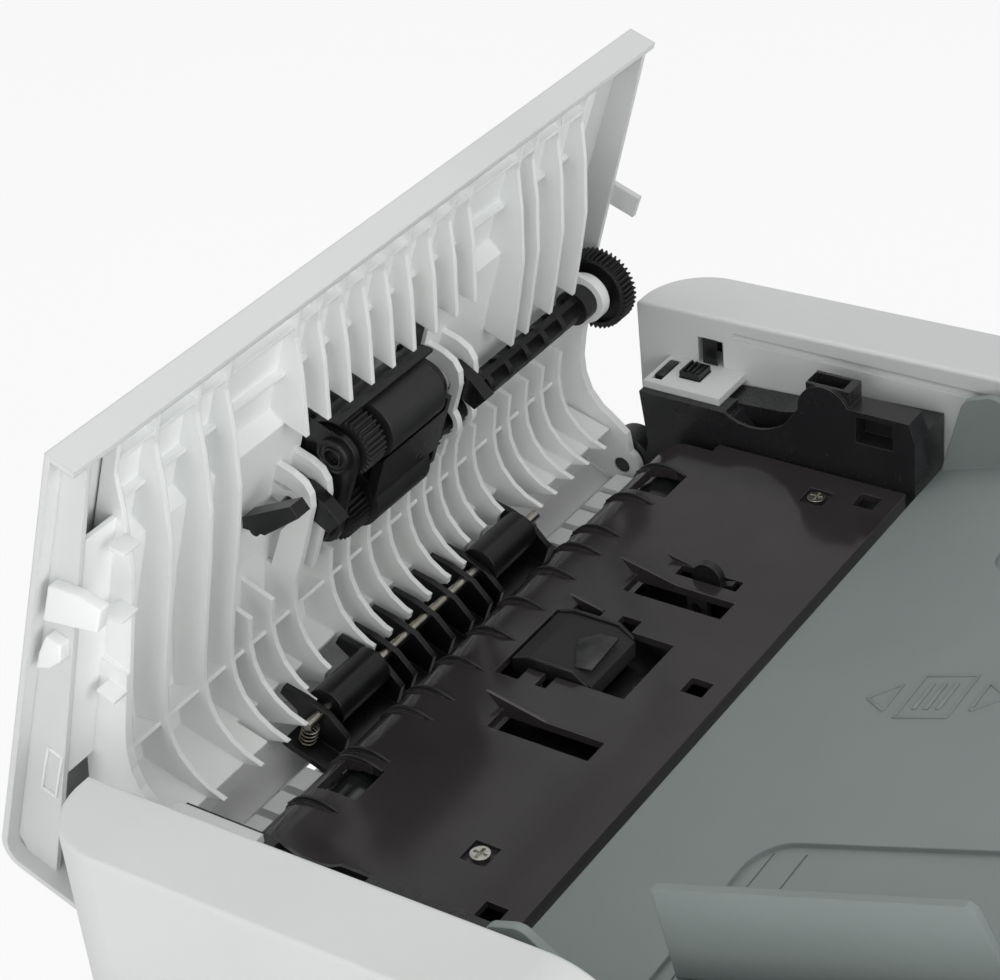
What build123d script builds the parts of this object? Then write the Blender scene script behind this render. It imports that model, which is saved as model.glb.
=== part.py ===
# Colour laser multifunction printer with the feeder's jam cover open, built piece by piece in millimetres.

import math
import os

from build123d import *

os.makedirs("parts", exist_ok=True)

# whole machine
body_width = 420.0
body_depth = 380.0
wall = 2.4
seam = 0.6
foot_height = 6.0
foot_radius = 11.0
foot_inset = 26.0
pan_thickness = 8.0
base_inset = 3.0
table_to_scanner = 226.0
table_to_glass = 269.0
table_to_deck = 310.0
half_width = body_width / 2
half_depth = body_depth / 2
shell_low = foot_height + pan_thickness + seam
shell_high = table_to_scanner - seam

# where the feeder's deck lies on the machine
feed_x = -105.0
feed_y = 20.0
feed_z = table_to_deck

# front door, tray, bin and rear door
front_panel_depth = 12.0
front_gap = 1.6
tray_front_high = 60.0
tray_half_width = 118.0
tray_rear = 130.0
tray_side_height = 42.0
grip_width = 90.0
grip_height = 12.0
grip_depth = 8.0
door_low = 61.4
door_high = 176.0
door_wall = 3.0
door_axis_y = -188.0
door_axis_z = 63.4
door_pin_radius = 1.2
door_pin_length = 8.0
door_ear_low = 60.6
door_ear_high = 66.0
door_ear_gap = 0.6
tray_rail_x = 104.0
tray_rail_width = 6.0
bin_front_height = 182.0
bin_drop = 34.0
bin_rear = 118.0
bin_wall = 3.0
stop_flap_width = 70.0
stop_flap_length = 46.0
stop_flap_thickness = 3.0
stop_pin_radius = 0.8
stop_lug = 3.0
side_front = -half_depth + front_panel_depth + front_gap
side_mouth = -96.0
vent_count = 9
vent_length = 46.0
vent_width = 3.0
vent_pitch = 8.0
rear_door_half = 140.0
rear_door_low = 62.0
rear_door_high = 196.0
rear_grip_width = 60.0
rear_grip_height = 6.0
rear_grip_depth = 3.0
rear_axis_y = 188.4
rear_axis_z = 63.6
rear_pin_radius = 1.0
rear_pin_length = 5.0
inlet_x = -170.0
inlet_z = 40.0
inlet_width = 28.0
inlet_height = 20.0
inlet_depth = 24.0
inlet_pin_radius = 1.6
inlet_pin_pitch = 7.0
inlet_pin_rise = 2.2

# inside the machine
inner_half_width = 150.0
inner_plate = 2.0
inner_low = 64.0
inner_high = 140.0
inner_front = -150.0
toner_count = 4
toner_pitch = 46.0
toner_first = -112.0
toner_radius = 17.0
toner_height = 112.0
toner_half_length = 122.0
drum_radius = 10.0
toner_pin_radius = 4.0
belt_low = 68.0
belt_high = 84.0
belt_front = -138.0
belt_rear = 52.0
fuser_front = 76.0
fuser_rear = 112.0
fuser_low = 92.0
fuser_high = 132.0
pickup_radius = 14.0
pickup_y = 100.0
pickup_z = 78.0
pickup_half_length = 26.0
pickup_shaft_radius = 3.0

# scanner
scanner_front = -158.0
scanner_rear = 188.0
scanner_wall = 3.0
glass_half_width = 152.0
glass_front = -112.0
glass_rear = 128.0
glass_thickness = 2.6
glass_ledge = 5.0
glass_gap = 0.3
rail_radius = 4.0
rail_drop = 24.0
carriage_width = 20.0
carriage_front = -104.0
carriage_rear = 116.0
carriage_x = -155.0
carriage_top_gap = 1.4
carriage_height = 24.0
lid_axis_y = 183.0
lid_axis_z = 275.6
lid_pin_radius = 1.6
lid_arm_half = 9.0
lid_arm_x = 120.0
lid_lug_width = 5.0
lid_arm_radius = 3.2

# control panel
panel_low = 222.0
panel_high = 268.0
panel_top_depth = 14.0
panel_rear_gap = 1.6
panel_nose = 8.0
display_width = 66.0
display_height = 20.0
display_x = 40.0
display_rise = 0.4
key_radius = 5.0
key_rise = 1.2
key_depth = 4.0
key_gap = 0.25
key_pitch = 17.0
key_x = 94.0
power_x = -180.0

# feeder housing
rim_half_depth = 149.0
channel_half_depth = 125.5
rim_left = -93.0
rim_top_left = 28.4
rim_top_right = 30.9
rim_straight_end = 46.0
rim_foot_end = 104.0
rim_foot_height = -16.0
rim_corner = 12.0
rim_plan_round = 20.0
rim_edge_round = 1.2
rim_groove_top = 24.6
rim_groove_height = 2.2
rim_groove_depth = 0.9
rim_groove_left = -60.0
floor_low = -38.0
floor_top = -33.0
housing_right = 310.0
rear_deck_top = -20.0
lid_pad_thickness = 2.4
lid_pad_margin = 16.0
ledge_top = 12.2
ledge_thickness = 2.4
ledge_left = -82.0
ledge_right = -56.0
ledge_inner = 109.0
ledge_slot_left = -80.5
ledge_slot_width = 3.4
button_x = -69.6
button_size = 6.8
button_gap = 0.3
button_rise = 2.0
button_depth = 6.0
button_y = 118.6
button_window = 8.6
button_window_x = -68.0

# jam cover, drawn closed about its hinge and turned open
cover_open_deg = 69.0
hinge_u = -88.0
hinge_w = -16.5
hinge_pin_radius = 2.6
running_fit = 0.1
cover_left = -16.7
cover_right = 126.5
cover_top_left = 45.0
cover_top_right = 47.4
cover_corner = 7.0
cover_skin = 1.8
cover_half_depth = 122.6
cover_lip = 4.4
cover_end_wall = 1.6
free_wall_depth = 8.4
left_wall_foot = 5.0
end_wall_depth = 13.0
end_floor_start = 20.0
end_floor_stop = 100.0
end_floor_rise = 1.0
cover_tab_u = 76.0
cover_tab_width = 7.0
cover_tab_end = 27.6
cover_tab_gap = 0.8

# paper guide ribs, as shares of the hinge-to-edge length and of the cover's height
rib_edge_share = [
    (0.966, 0.868), (0.885, 0.862), (0.80, 0.772), (0.74, 0.724), (0.674, 0.670), (0.55, 0.622), (0.39, 0.570),
    (0.285, 0.534), (0.226, 0.504), (0.18, 0.452), (0.145, 0.378), (0.12, 0.272), (0.109, 0.170), (0.108, 0.05),
]
rib_skin = 1.2
rib_thickness = 1.5
rib_shell_gap = 0.2

# the panel's face behind the ribs: along the shell down to a step, then down to the hinge
skin_start = 122.0
skin_step = 84.5
skin_step_run = 2.3
skin_low_line = [
    (84.5, 38.8), (62.0, 38.0), (42.0, 36.4), (24.0, 33.4), (9.0, 28.0), (-2.0, 20.0), (-7.0, 11.0), (-8.4, 2.6),
]

# cross webs between the ribs
web_thickness = 1.2
high_webs = [(115.5, 41.2), (99.5, 41.5)]
low_web = [(25.0, 25.0), (20.6, 33.2)]
foot_web = [(10.2, 7.4), (8.6, 28.4)]
foot_web_middle = 17.6
web_margin = 9.4
front_rib_share = [-0.848, -0.735, -0.612, -0.522]
front_low_rib_share = [-0.460, -0.384]
module_rib_share = [-0.302, -0.228, -0.152, -0.076, 0.0, 0.076, 0.158, 0.236, 0.308]
module_low_rib_share = [-0.302, -0.178, -0.114, -0.038, 0.038, 0.114, 0.176, 0.236, 0.302]
rear_rib_share = [0.498, 0.560, 0.662, 0.762]
rear_low_rib_share = [0.376, 0.462, 0.524, 0.598, 0.668, 0.746]
panel_half_depth = 104.0
module_rib_stop = 84.8
rear_rib_stop = 56.8
low_rib_stop = 36.8
module_hole_half = 27.6
arm_inner = 103.25
arm_width = 2.6
arm_top_front = 54.0
arm_top_rear = 40.0
arm_boss_radius = 6.2

# pick module
shaft_u = 48.7
shaft_w = 28.6
shaft_radius = 4.0
shaft_core = 3.2
shaft_web = 2.2
shaft_disc = 2.0
shaft_disc_count = 7
roller_pitch = 24.5
feed_roller_radius = 9.4
pick_roller_radius = 8.6
roller_front = -13.0
roller_rear = 10.6
module_front = -26.4
module_rear = 14.4
module_wall = 1.8
module_radius = 10.8
module_plate_radius = 6.4
module_boss = 8.0
module_boss_radius = 5.2
roller_gap = 0.5
module_shell = 1.1
bridge_low = -8.2
bridge_thickness = 3.0
gear_module = 0.5
drive_gear_teeth = 46
small_gear_teeth = 31
drive_gear_front = 107.7
drive_gear_width = 6.0
drive_gear_web = 2.4
small_gear_front = -22.4
small_gear_width = 7.0
hub_radius = 7.4
hub_front = 102.4
hub_width = 3.7
collar_radius = 5.4
collar_front = 96.6
pick_pin_radius = 2.0

# stop lever with two claws
stop_u = 61.4
stop_w = 32.2
stop_rod_radius = 1.6
claw_width = 4.0
claw_front = -33.2
claw_rear = 33.4
claw_ring = 4.0
stop_arm_y = -50.0
stop_arm_width = 5.0
stop_sleeve_front = 17.0
stop_sleeve_radius = 2.8
hook_thickness = 2.2
hook_gap = 0.5
hook_eye = 3.4
hook_post = 2.2
hook_outline = [
    (70.6, 38.4), (70.8, 33.2), (70.0, 29.4), (67.6, 26.8), (63.6, 25.5), (57.4, 25.4), (49.8, 25.2), (36.0, 25.3),
    (36.0, 33.4), (50.5, 32.8), (54.5, 31.0), (58.6, 28.6), (62.4, 28.2), (65.0, 30.6), (65.6, 34.0), (65.0, 38.4),
]
hook_shaft_wall = 1.6

# idler rollers
idler_u = 11.0
idler_w = 3.2
idler_radius = 5.8
idler_shaft_radius = 1.5
idler_half_length = 55.0
idler_offset = 36.0
idler_roller_width = 22.0
fin_thickness = 1.8
fin_share = [-0.887, -0.442, -0.333, -0.17, 0.0, 0.17, 0.333, 0.442, 0.887]
holder_half = 56.5
holder_wall = 2.0
holder_back = 0.8
spring_wire_radius = 0.25
spring_radius = 2.2
spring_turns = 4
spring_offset = 52.3
spring_end_gap = 0.2

# black paper deck
deck_thickness = 2.2
deck_left = -53.6
deck_right = 7.0
deck_half_depth = 104.0
deck_hole = 6.4
deck_hole_x = -1.2
deck_hole_offset = 95.8
deck_skirt = 5.4
screw_x = -15.0
screw_front = -79.5
screw_rear = 91.6
screw_head_radius = 2.6
screw_head_height = 1.6
screw_radius = 1.4
screw_cross = 0.9
screw_well = 1.4
screw_well_size = 7.4
post_radius = 4.0
deck_fin_share = [-0.8, -0.627, -0.591, -0.41, -0.318, -0.182, -0.038, 0.107, 0.26, 0.386, 0.482, 0.656, 0.82]
deck_fin_thickness = 0.9
deck_fin_height = 2.4
deck_fin_rise = 0.7
deck_fin_lead = 4.0
deck_fin_gap = 1.1
fin_margin = 1.2
deck_fin_to = 212.0
deck_fin_stop = 152.0
nose_end = 128.0
nose_fin_end = 134.0
nose_fin_overlap = 6.0
nose_window_offsets = [-71.3, 79.0]
nose_window_width = 12.6
nose_window_reach = 4.7
nose_bar_depth = 2.8
nose_bar_sweep = 20.0
nose_plate_thickness = 2.4
slot_left = -41.0
slot_right = -10.5
slot_width = 7.8
blade_front = -30.4
blade_rear = 36.2
blade_rise = 4.2
blade_left = -46.0
blade_end = -28.0
blade_thickness = 0.9
flag_slot_left = -32.0
flag_slot_right = -13.0
flag_slot_y = 43.6
flag_slot_width = 4.6
flag_blade_y = 47.2
flag_y = flag_slot_y + 1.2
flag_pin_drop = 3.4
flag_pin_x = -22.6
flag_pin_half = 7.0
flag_bearing = 2.4
pad_opening_left = -52.0
pad_opening_right = -15.5
pad_opening_half = 12.8
pad_bay_depth = 5.4
pad_bays = [(-1, -52.0, -44.6), (-1, -39.4, -36.0), (1, -48.4, -40.0), (1, -34.6, -28.6)]

# separation pad on its sprung holder
pad_left = -50.6
pad_right = -26.6
pad_half = 11.0
pad_top = 1.8
pad_drop = 6.0
pad_chamfer = 5.0

# drive roller under the deck's fins
drive_roller_radius = 9.5
drive_shaft_radius = 2.4
nip_gap = 0.4
drive_roller_half = 97.0

# side frames
frame_inner = 106.4
frame_web = 1.0
frame_thickness = 8.4
frame_right = 8.6
frame_hump = 26.6
frame_shelf_left = 8.2
frame_shelf_right = 15.6
frame_boss_radius = 8.4
gear_well_gap = 1.2
notch_radius = 4.9
notch_left = -53.0
socket_left = -26.0
socket_right = -14.6
socket_depth = 7.0
pocket_left = -10.0
pocket_right = 1.6
pocket_low = 11.4
pocket_high = 19.8
pocket_depth = 6.4

# input tray and paper guides
tray_slope = 0.362
tray_drop = -3.6
tray_left = 10.8
tray_length = 210.0
input_half_depth = 121.4
input_thickness = 2.8
tray_recess = 1.4
tray_recess_start = 54.0
tray_recess_inner = 59.0
tray_recess_outer = 118.4
tray_recess_round = 10.0
tray_groove_starts = [58.0, 67.0]
tray_groove_width = 0.5
tray_groove_depth = 0.4
tray_fin_height = 21.2
tray_fin_length = 36.0
tray_fin_thickness = 2.4
tray_fin_round = 4.6
tray_lip = 6.0
bracket_y = 96.0
bracket_width = 8.0
bracket_left = 116.0
bracket_right = 150.0
guide_offset = 107.0
guide_thickness = 2.4
guide_height = 22.6
guide_start = 59.5
guide_lean = 3.2
guide_length = 81.0
guide_foot = 9.0
guide_foot_thickness = 1.6
guide_clearance = 0.2

hinge_x = feed_x + hinge_u
hinge_z = feed_z + hinge_w
drive_roller_x = hinge_u + idler_u + idler_radius + nip_gap + drive_roller_radius
drive_roller_z = hinge_w + idler_w


def cover_plane(y_at):
    turn = math.radians(cover_open_deg)
    return Plane(
        origin=(hinge_x, feed_y + y_at, hinge_z),
        x_dir=(math.cos(turn), 0, math.sin(turn)),
        z_dir=(0, -1, 0),
    )


def feed_plane(y_at):
    return Plane(origin=(feed_x, feed_y + y_at, feed_z), x_dir=(1, 0, 0), z_dir=(0, -1, 0))


def tray_plane():
    lean = math.atan(tray_slope)
    return Plane(
        origin=(feed_x, feed_y, feed_z + tray_drop),
        x_dir=(math.cos(lean), 0, math.sin(lean)),
        z_dir=(-math.sin(lean), 0, math.cos(lean)),
    )


def guide_plane(y_at):
    lean = math.atan(tray_slope)
    return Plane(
        origin=(feed_x, feed_y + y_at, feed_z + tray_drop),
        x_dir=(math.cos(lean), 0, math.sin(lean)),
        z_dir=(0, -1, 0),
    )


def block(x0, x1, y0, y1, z0, z1, mode=Mode.ADD):
    with Locations(((x0 + x1) / 2, (y0 + y1) / 2, (z0 + z1) / 2)):
        Box(x1 - x0, y1 - y0, z1 - z0, mode=mode)


def feed_block(x0, x1, y0, y1, z0, z1, mode=Mode.ADD):
    block(feed_x + x0, feed_x + x1, feed_y + y0, feed_y + y1, feed_z + z0, feed_z + z1, mode)


def slab(plane, points, length, mode=Mode.ADD):
    with BuildSketch(plane) as face:
        with BuildLine():
            Polyline(*points, close=True)
        make_face()
    extrude(face.sketch, amount=length, mode=mode)


def disc(plane, u, w, radius, length, mode=Mode.ADD):
    with BuildSketch(plane) as face:
        with Locations((u, w)):
            Circle(radius)
    extrude(face.sketch, amount=length, mode=mode)


def cover_box(u0, u1, w0, w1, y0, y1, mode=Mode.ADD):
    slab(cover_plane(y1), [(u0, w0), (u1, w0), (u1, w1), (u0, w1)], y1 - y0, mode)


def gear_outline(teeth, centre):
    pitch_radius = gear_module * teeth / 2
    root = pitch_radius - 1.25 * gear_module
    tip = pitch_radius + gear_module
    step = 2 * math.pi / teeth
    points = []
    for tooth in range(teeth):
        for radius, share in ((root, -0.37), (pitch_radius, -0.23), (tip, -0.1), (tip, 0.1), (pitch_radius, 0.23),
                              (root, 0.37)):
            angle = (tooth + share) * step
            points.append((centre[0] + radius * math.cos(angle), centre[1] + radius * math.sin(angle)))
    return points


def save(builder, name):
    builder.part.label = name
    export_step(builder.part, f"parts/{name}.step")
    print(name, round(builder.part.volume), len(builder.part.solids()))


# machine body
tray_floor = foot_height + pan_thickness + front_gap
front_y = -half_depth
with BuildPart() as base_pan:
    with BuildSketch(Plane.XY.offset(foot_height)):
        RectangleRounded(body_width - 2 * base_inset, body_depth - 2 * base_inset, rim_corner)
    extrude(amount=pan_thickness)
    for sign in (-1, 1):
        block(sign * tray_rail_x - tray_rail_width / 2, sign * tray_rail_x + tray_rail_width / 2, side_front,
              tray_rear, foot_height + pan_thickness, tray_floor - running_fit)
save(base_pan, "base_pan")

with BuildPart() as feet:
    with BuildSketch(Plane.XY):
        with GridLocations(body_width - 2 * foot_inset, body_depth - 2 * foot_inset, 2, 2):
            Circle(foot_radius)
        Circle(foot_radius)
    extrude(amount=foot_height)
save(feet, "feet")

for name, sign in (("left_cover", -1), ("right_cover", 1)):
    with BuildPart() as side_cover:
        with BuildSketch(Plane(origin=(sign * half_width, 0, 0), x_dir=(0, 1, 0), z_dir=(1, 0, 0))):
            with BuildLine():
                Polyline(
                    (side_front, shell_low), (half_depth - wall - seam, shell_low),
                    (half_depth - wall - seam, shell_high), (side_mouth, shell_high),
                    (side_front + front_panel_depth, bin_front_height), (side_front, bin_front_height), close=True,
                )
            make_face()
            with Locations((half_depth - vent_length, shell_low + vent_pitch * vent_count)):
                with GridLocations(vent_length, vent_pitch, 1, vent_count):
                    SlotOverall(vent_length, vent_width, mode=Mode.SUBTRACT)
        extrude(amount=-sign * wall)
        ear_near = min(sign * half_width, sign * (half_width - wall))
        block(ear_near, ear_near + wall, front_y + door_ear_gap, side_front + seam, door_ear_low, door_ear_high)
        pin_start = min(sign * (half_width - wall), sign * (half_width - wall - door_pin_length))
        disc(Plane(origin=(pin_start, 0, 0), x_dir=(0, 1, 0), z_dir=(1, 0, 0)), door_axis_y, door_axis_z,
             door_pin_radius, door_pin_length)
    save(side_cover, name)

with BuildPart() as rear_cover:
    block(-half_width, half_width, half_depth - wall, half_depth, shell_low, shell_high)
    block(-rear_door_half - seam, rear_door_half + seam, half_depth - 2 * wall, half_depth + wall,
          rear_door_low - 2 * seam, rear_door_high + seam, Mode.SUBTRACT)
    for sign in (-1, 1):
        boss_near = min(sign * (rear_door_half + seam), sign * (rear_door_half + seam + foot_height))
        block(boss_near, boss_near + foot_height, half_depth - 2 * wall, half_depth, rear_axis_z - wall,
              rear_axis_z + wall)
    disc(Plane(origin=(-rear_door_half - rear_pin_length, 0, 0), x_dir=(0, 1, 0), z_dir=(1, 0, 0)), rear_axis_y,
         rear_axis_z, rear_pin_radius + running_fit, 2 * (rear_door_half + rear_pin_length), Mode.SUBTRACT)
    block(inlet_x - inlet_width / 2 - seam, inlet_x + inlet_width / 2 + seam, half_depth - 2 * wall,
          half_depth + wall, inlet_z - inlet_height / 2 - seam, inlet_z + inlet_height / 2 + seam, Mode.SUBTRACT)
save(rear_cover, "rear_cover")

with BuildPart() as rear_door:
    block(-rear_door_half, rear_door_half, half_depth - wall, half_depth, rear_door_low, rear_door_high)
    block(-rear_grip_width / 2, rear_grip_width / 2, half_depth, half_depth + rear_grip_depth,
          rear_door_high - 2 * rear_grip_height, rear_door_high - rear_grip_height)
    pin_reach = rear_door_half + rear_pin_length - seam
    disc(Plane(origin=(-pin_reach, 0, 0), x_dir=(0, 1, 0), z_dir=(1, 0, 0)), rear_axis_y, rear_axis_z,
         rear_pin_radius, 2 * pin_reach)
save(rear_door, "rear_door")

with BuildPart() as power_inlet:
    block(inlet_x - inlet_width / 2, inlet_x + inlet_width / 2, half_depth - inlet_depth, half_depth,
          inlet_z - inlet_height / 2, inlet_z + inlet_height / 2)
    block(inlet_x - inlet_width / 2 + wall, inlet_x + inlet_width / 2 - wall, half_depth - inlet_depth + wall,
          half_depth, inlet_z - inlet_height / 2 + wall, inlet_z + inlet_height / 2 - wall, Mode.SUBTRACT)
    with BuildSketch(Plane(origin=(inlet_x, half_depth - wall, inlet_z), x_dir=(1, 0, 0), z_dir=(0, -1, 0))):
        with Locations((0, inlet_pin_rise), (-inlet_pin_pitch, -inlet_pin_rise), (inlet_pin_pitch, -inlet_pin_rise)):
            Circle(inlet_pin_radius)
    extrude(amount=inlet_depth - 2 * wall + seam)
save(power_inlet, "power_inlet")

bin_x = half_width - wall - seam
bin_low = bin_front_height - bin_drop
bin_step = table_to_scanner - bin_drop / 2
bin_back = half_depth - wall - seam
flap_slope = bin_drop / (bin_rear - side_front)
flap_turn = math.atan(flap_slope)
flap_round = stop_flap_thickness / 2
flap_y = side_front + front_gap + flap_round
flap_z = bin_front_height - (flap_y - side_front) * flap_slope + button_gap + flap_round
flap_side = Plane(origin=(-stop_flap_width / 2, 0, 0), x_dir=(0, 1, 0), z_dir=(1, 0, 0))
with BuildPart() as bin_cover:
    with BuildSketch(Plane(origin=(-bin_x, 0, 0), x_dir=(0, 1, 0), z_dir=(1, 0, 0))):
        with BuildLine():
            Polyline(
                (side_front, bin_front_height), (side_front, bin_front_height - bin_wall),
                (bin_rear, bin_low - bin_wall), (bin_rear + bin_wall, bin_low - bin_wall),
                (bin_rear + bin_wall, bin_step - bin_wall), (bin_back, bin_step - bin_wall),
                (bin_back, bin_step), (bin_rear, bin_step), (bin_rear, bin_low), close=True,
            )
        make_face()
    extrude(amount=2 * bin_x)
    block(-rear_door_half, rear_door_half, bin_rear - bin_wall, bin_rear + 2 * bin_wall,
          bin_low + 2 * bin_wall, bin_low + 5 * bin_wall, Mode.SUBTRACT)
    for sign in (-1, 1):
        lug_x = min(sign * (stop_flap_width / 2 + button_gap), sign * (stop_flap_width / 2 + button_gap + stop_lug))
        block(lug_x, lug_x + stop_lug, flap_y - flap_round, flap_y + flap_round, flap_z - stop_flap_thickness,
              flap_z + flap_round)
    disc(flap_side.offset(-stop_lug), flap_y, flap_z, stop_pin_radius, 2 * stop_lug)
    disc(flap_side.offset(stop_flap_width - stop_lug), flap_y, flap_z, stop_pin_radius, 2 * stop_lug)
save(bin_cover, "bin_cover")

with BuildPart() as output_stop:
    with BuildSketch(Plane(
        origin=(0, flap_y - flap_round * math.sin(flap_turn), flap_z - flap_round * math.cos(flap_turn)),
        x_dir=(1, 0, 0), z_dir=(0, math.sin(flap_turn), math.cos(flap_turn)),
    )):
        with Locations((0, stop_flap_length / 2)):
            Rectangle(stop_flap_width, stop_flap_length)
    extrude(amount=stop_flap_thickness)
    far_corners = output_stop.edges().filter_by(Axis.Z, tolerance=45).group_by(Axis.Y)[-1]
    fillet(far_corners, foot_height)
    disc(flap_side, flap_y, flap_z, flap_round, stop_flap_width)
    disc(flap_side.offset(-seam), flap_y, flap_z, stop_pin_radius + running_fit, stop_flap_width + 2 * seam,
         Mode.SUBTRACT)
save(output_stop, "output_stop")

with BuildPart() as front_door:
    block(-half_width, half_width, front_y, front_y + front_panel_depth, door_low, door_high)
    block(-half_width + door_wall, half_width - door_wall, front_y + door_wall, front_y + 2 * front_panel_depth,
          door_low + door_wall, door_high - door_wall, Mode.SUBTRACT)
    block(-grip_width / 2, grip_width / 2, front_y - seam, front_y + door_wall - seam, door_high - grip_height,
          door_high + seam, Mode.SUBTRACT)
    for sign in (-1, 1):
        ear_face = sign * (half_width - wall - door_ear_gap)
        boss_end = ear_face - sign * (door_pin_length + door_ear_gap)
        block(min(ear_face, boss_end), max(ear_face, boss_end), front_y, front_y + 2 * door_wall, door_low,
              door_ear_high + door_wall)
        block(min(ear_face, sign * half_width), max(ear_face, sign * half_width), front_y - seam,
              front_y + front_panel_depth + seam, door_low - seam, door_ear_high + 2 * door_ear_gap, Mode.SUBTRACT)
        disc(Plane(origin=(min(ear_face, boss_end), 0, 0), x_dir=(0, 1, 0), z_dir=(1, 0, 0)), door_axis_y,
             door_axis_z, door_pin_radius + running_fit, door_pin_length + door_ear_gap, Mode.SUBTRACT)
save(front_door, "front_door")

with BuildPart() as paper_tray:
    block(-half_width, half_width, front_y, front_y + front_panel_depth, tray_floor, tray_front_high)
    block(-grip_width / 2, grip_width / 2, front_y - seam, front_y + grip_depth, tray_front_high - 2 * grip_height,
          tray_front_high - grip_height, Mode.SUBTRACT)
    block(-tray_half_width, tray_half_width, front_y + front_panel_depth, tray_rear, tray_floor,
          tray_floor + tray_side_height)
    block(-tray_half_width + wall, tray_half_width - wall, front_y + front_panel_depth + wall, tray_rear - wall,
          tray_floor + wall, tray_floor + 2 * tray_side_height, Mode.SUBTRACT)
save(paper_tray, "paper_tray")

# inside the machine
with BuildPart() as engine_frame:
    for sign in (-1, 1):
        block(sign * inner_half_width - inner_plate / 2, sign * inner_half_width + inner_plate / 2, inner_front,
              bin_rear, foot_height + pan_thickness, inner_high)
    block(-inner_half_width, inner_half_width, bin_rear - inner_plate, bin_rear, inner_low, inner_high)
    disc(Plane(origin=(-half_width, 0, 0), x_dir=(0, 1, 0), z_dir=(1, 0, 0)), pickup_y, pickup_z,
         pickup_shaft_radius + running_fit, body_width, Mode.SUBTRACT)
save(engine_frame, "engine_frame")

plate_face = inner_half_width - inner_plate / 2
plate_side = Plane(origin=(-plate_face, 0, 0), x_dir=(0, 1, 0), z_dir=(1, 0, 0))

with BuildPart() as toner_cartridges:
    for index in range(toner_count):
        toner_y = toner_first + index * toner_pitch
        with BuildSketch(Plane(origin=(-toner_half_length, toner_y, toner_height), x_dir=(0, 1, 0),
                               z_dir=(1, 0, 0))):
            SlotOverall(2 * toner_radius + drum_radius, 1.4 * toner_radius, rotation=60)
        extrude(amount=2 * toner_half_length)
        disc(plate_side, toner_y, toner_height, toner_pin_radius, 2 * plate_face)
save(toner_cartridges, "toner_cartridges")

with BuildPart() as belt_unit:
    with BuildSketch(Plane(origin=(-toner_half_length, (belt_front + belt_rear) / 2, (belt_low + belt_high) / 2),
                           x_dir=(0, 1, 0), z_dir=(1, 0, 0))):
        SlotOverall(belt_rear - belt_front, belt_high - belt_low)
    extrude(amount=2 * toner_half_length)
    belt_radius = (belt_high - belt_low) / 2
    for shaft_y in (belt_front + belt_radius, belt_rear - belt_radius):
        disc(plate_side, shaft_y, belt_low + belt_radius, pickup_shaft_radius, 2 * plate_face)
save(belt_unit, "belt_unit")

with BuildPart() as fuser_unit:
    block(-plate_face, plate_face, fuser_front, fuser_rear, fuser_low, fuser_high)
    block(-toner_half_length + 2 * wall, toner_half_length - 2 * wall, fuser_front + 2 * wall, fuser_rear - 2 * wall,
          fuser_high - 2 * wall, fuser_high + wall, Mode.SUBTRACT)
save(fuser_unit, "fuser_unit")

with BuildPart() as pickup_roller:
    with BuildSketch(Plane(origin=(-pickup_half_length, pickup_y, pickup_z), x_dir=(0, 1, 0), z_dir=(1, 0, 0))):
        Circle(pickup_radius)
    extrude(amount=2 * pickup_half_length)
    shaft_reach = inner_half_width + inner_plate
    disc(Plane(origin=(-shaft_reach, 0, 0), x_dir=(0, 1, 0), z_dir=(1, 0, 0)), pickup_y, pickup_z,
         pickup_shaft_radius, 2 * shaft_reach)
save(pickup_roller, "pickup_roller")

# scanner
rail_z = table_to_glass - rail_drop
with BuildPart() as scanner_base:
    block(-half_width, half_width, scanner_front, scanner_rear, table_to_scanner, table_to_glass)
    block(-half_width + scanner_wall, half_width - scanner_wall, scanner_front + scanner_wall,
          scanner_rear - scanner_wall, table_to_scanner + scanner_wall, table_to_glass - 2 * scanner_wall,
          Mode.SUBTRACT)
    block(-glass_half_width - glass_gap, glass_half_width + glass_gap, glass_front - glass_gap,
          glass_rear + glass_gap, table_to_glass - glass_thickness - glass_gap, table_to_glass + seam, Mode.SUBTRACT)
    block(-glass_half_width + glass_ledge, glass_half_width - glass_ledge, glass_front + glass_ledge,
          glass_rear - glass_ledge, table_to_glass - 3 * scanner_wall, table_to_glass, Mode.SUBTRACT)
    with BuildSketch(Plane(origin=(-half_width + seam, feed_y, rail_z), x_dir=(0, 1, 0), z_dir=(1, 0, 0))):
        Circle(rail_radius)
    extrude(amount=body_width - 2 * seam)
    for sign in (-1, 1):
        for side in (-1, 1):
            lug_x = sign * lid_arm_x + side * (lid_arm_half + lid_lug_width / 2 + running_fit * 4)
            block(lug_x - lid_lug_width / 2, lug_x + lid_lug_width / 2, lid_axis_y - lid_arm_radius,
                  lid_axis_y + lid_arm_radius, table_to_glass - seam, lid_axis_z + lid_arm_radius)
        pin_half = lid_arm_half + lid_lug_width / 2
        with BuildSketch(Plane(origin=(sign * lid_arm_x - pin_half, lid_axis_y, lid_axis_z), x_dir=(0, 1, 0),
                               z_dir=(1, 0, 0))):
            Circle(lid_pin_radius)
        extrude(amount=2 * pin_half)
save(scanner_base, "scanner_base")

with BuildPart() as scan_glass:
    block(-glass_half_width, glass_half_width, glass_front, glass_rear, table_to_glass - glass_thickness,
          table_to_glass)
save(scan_glass, "scan_glass")

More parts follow.
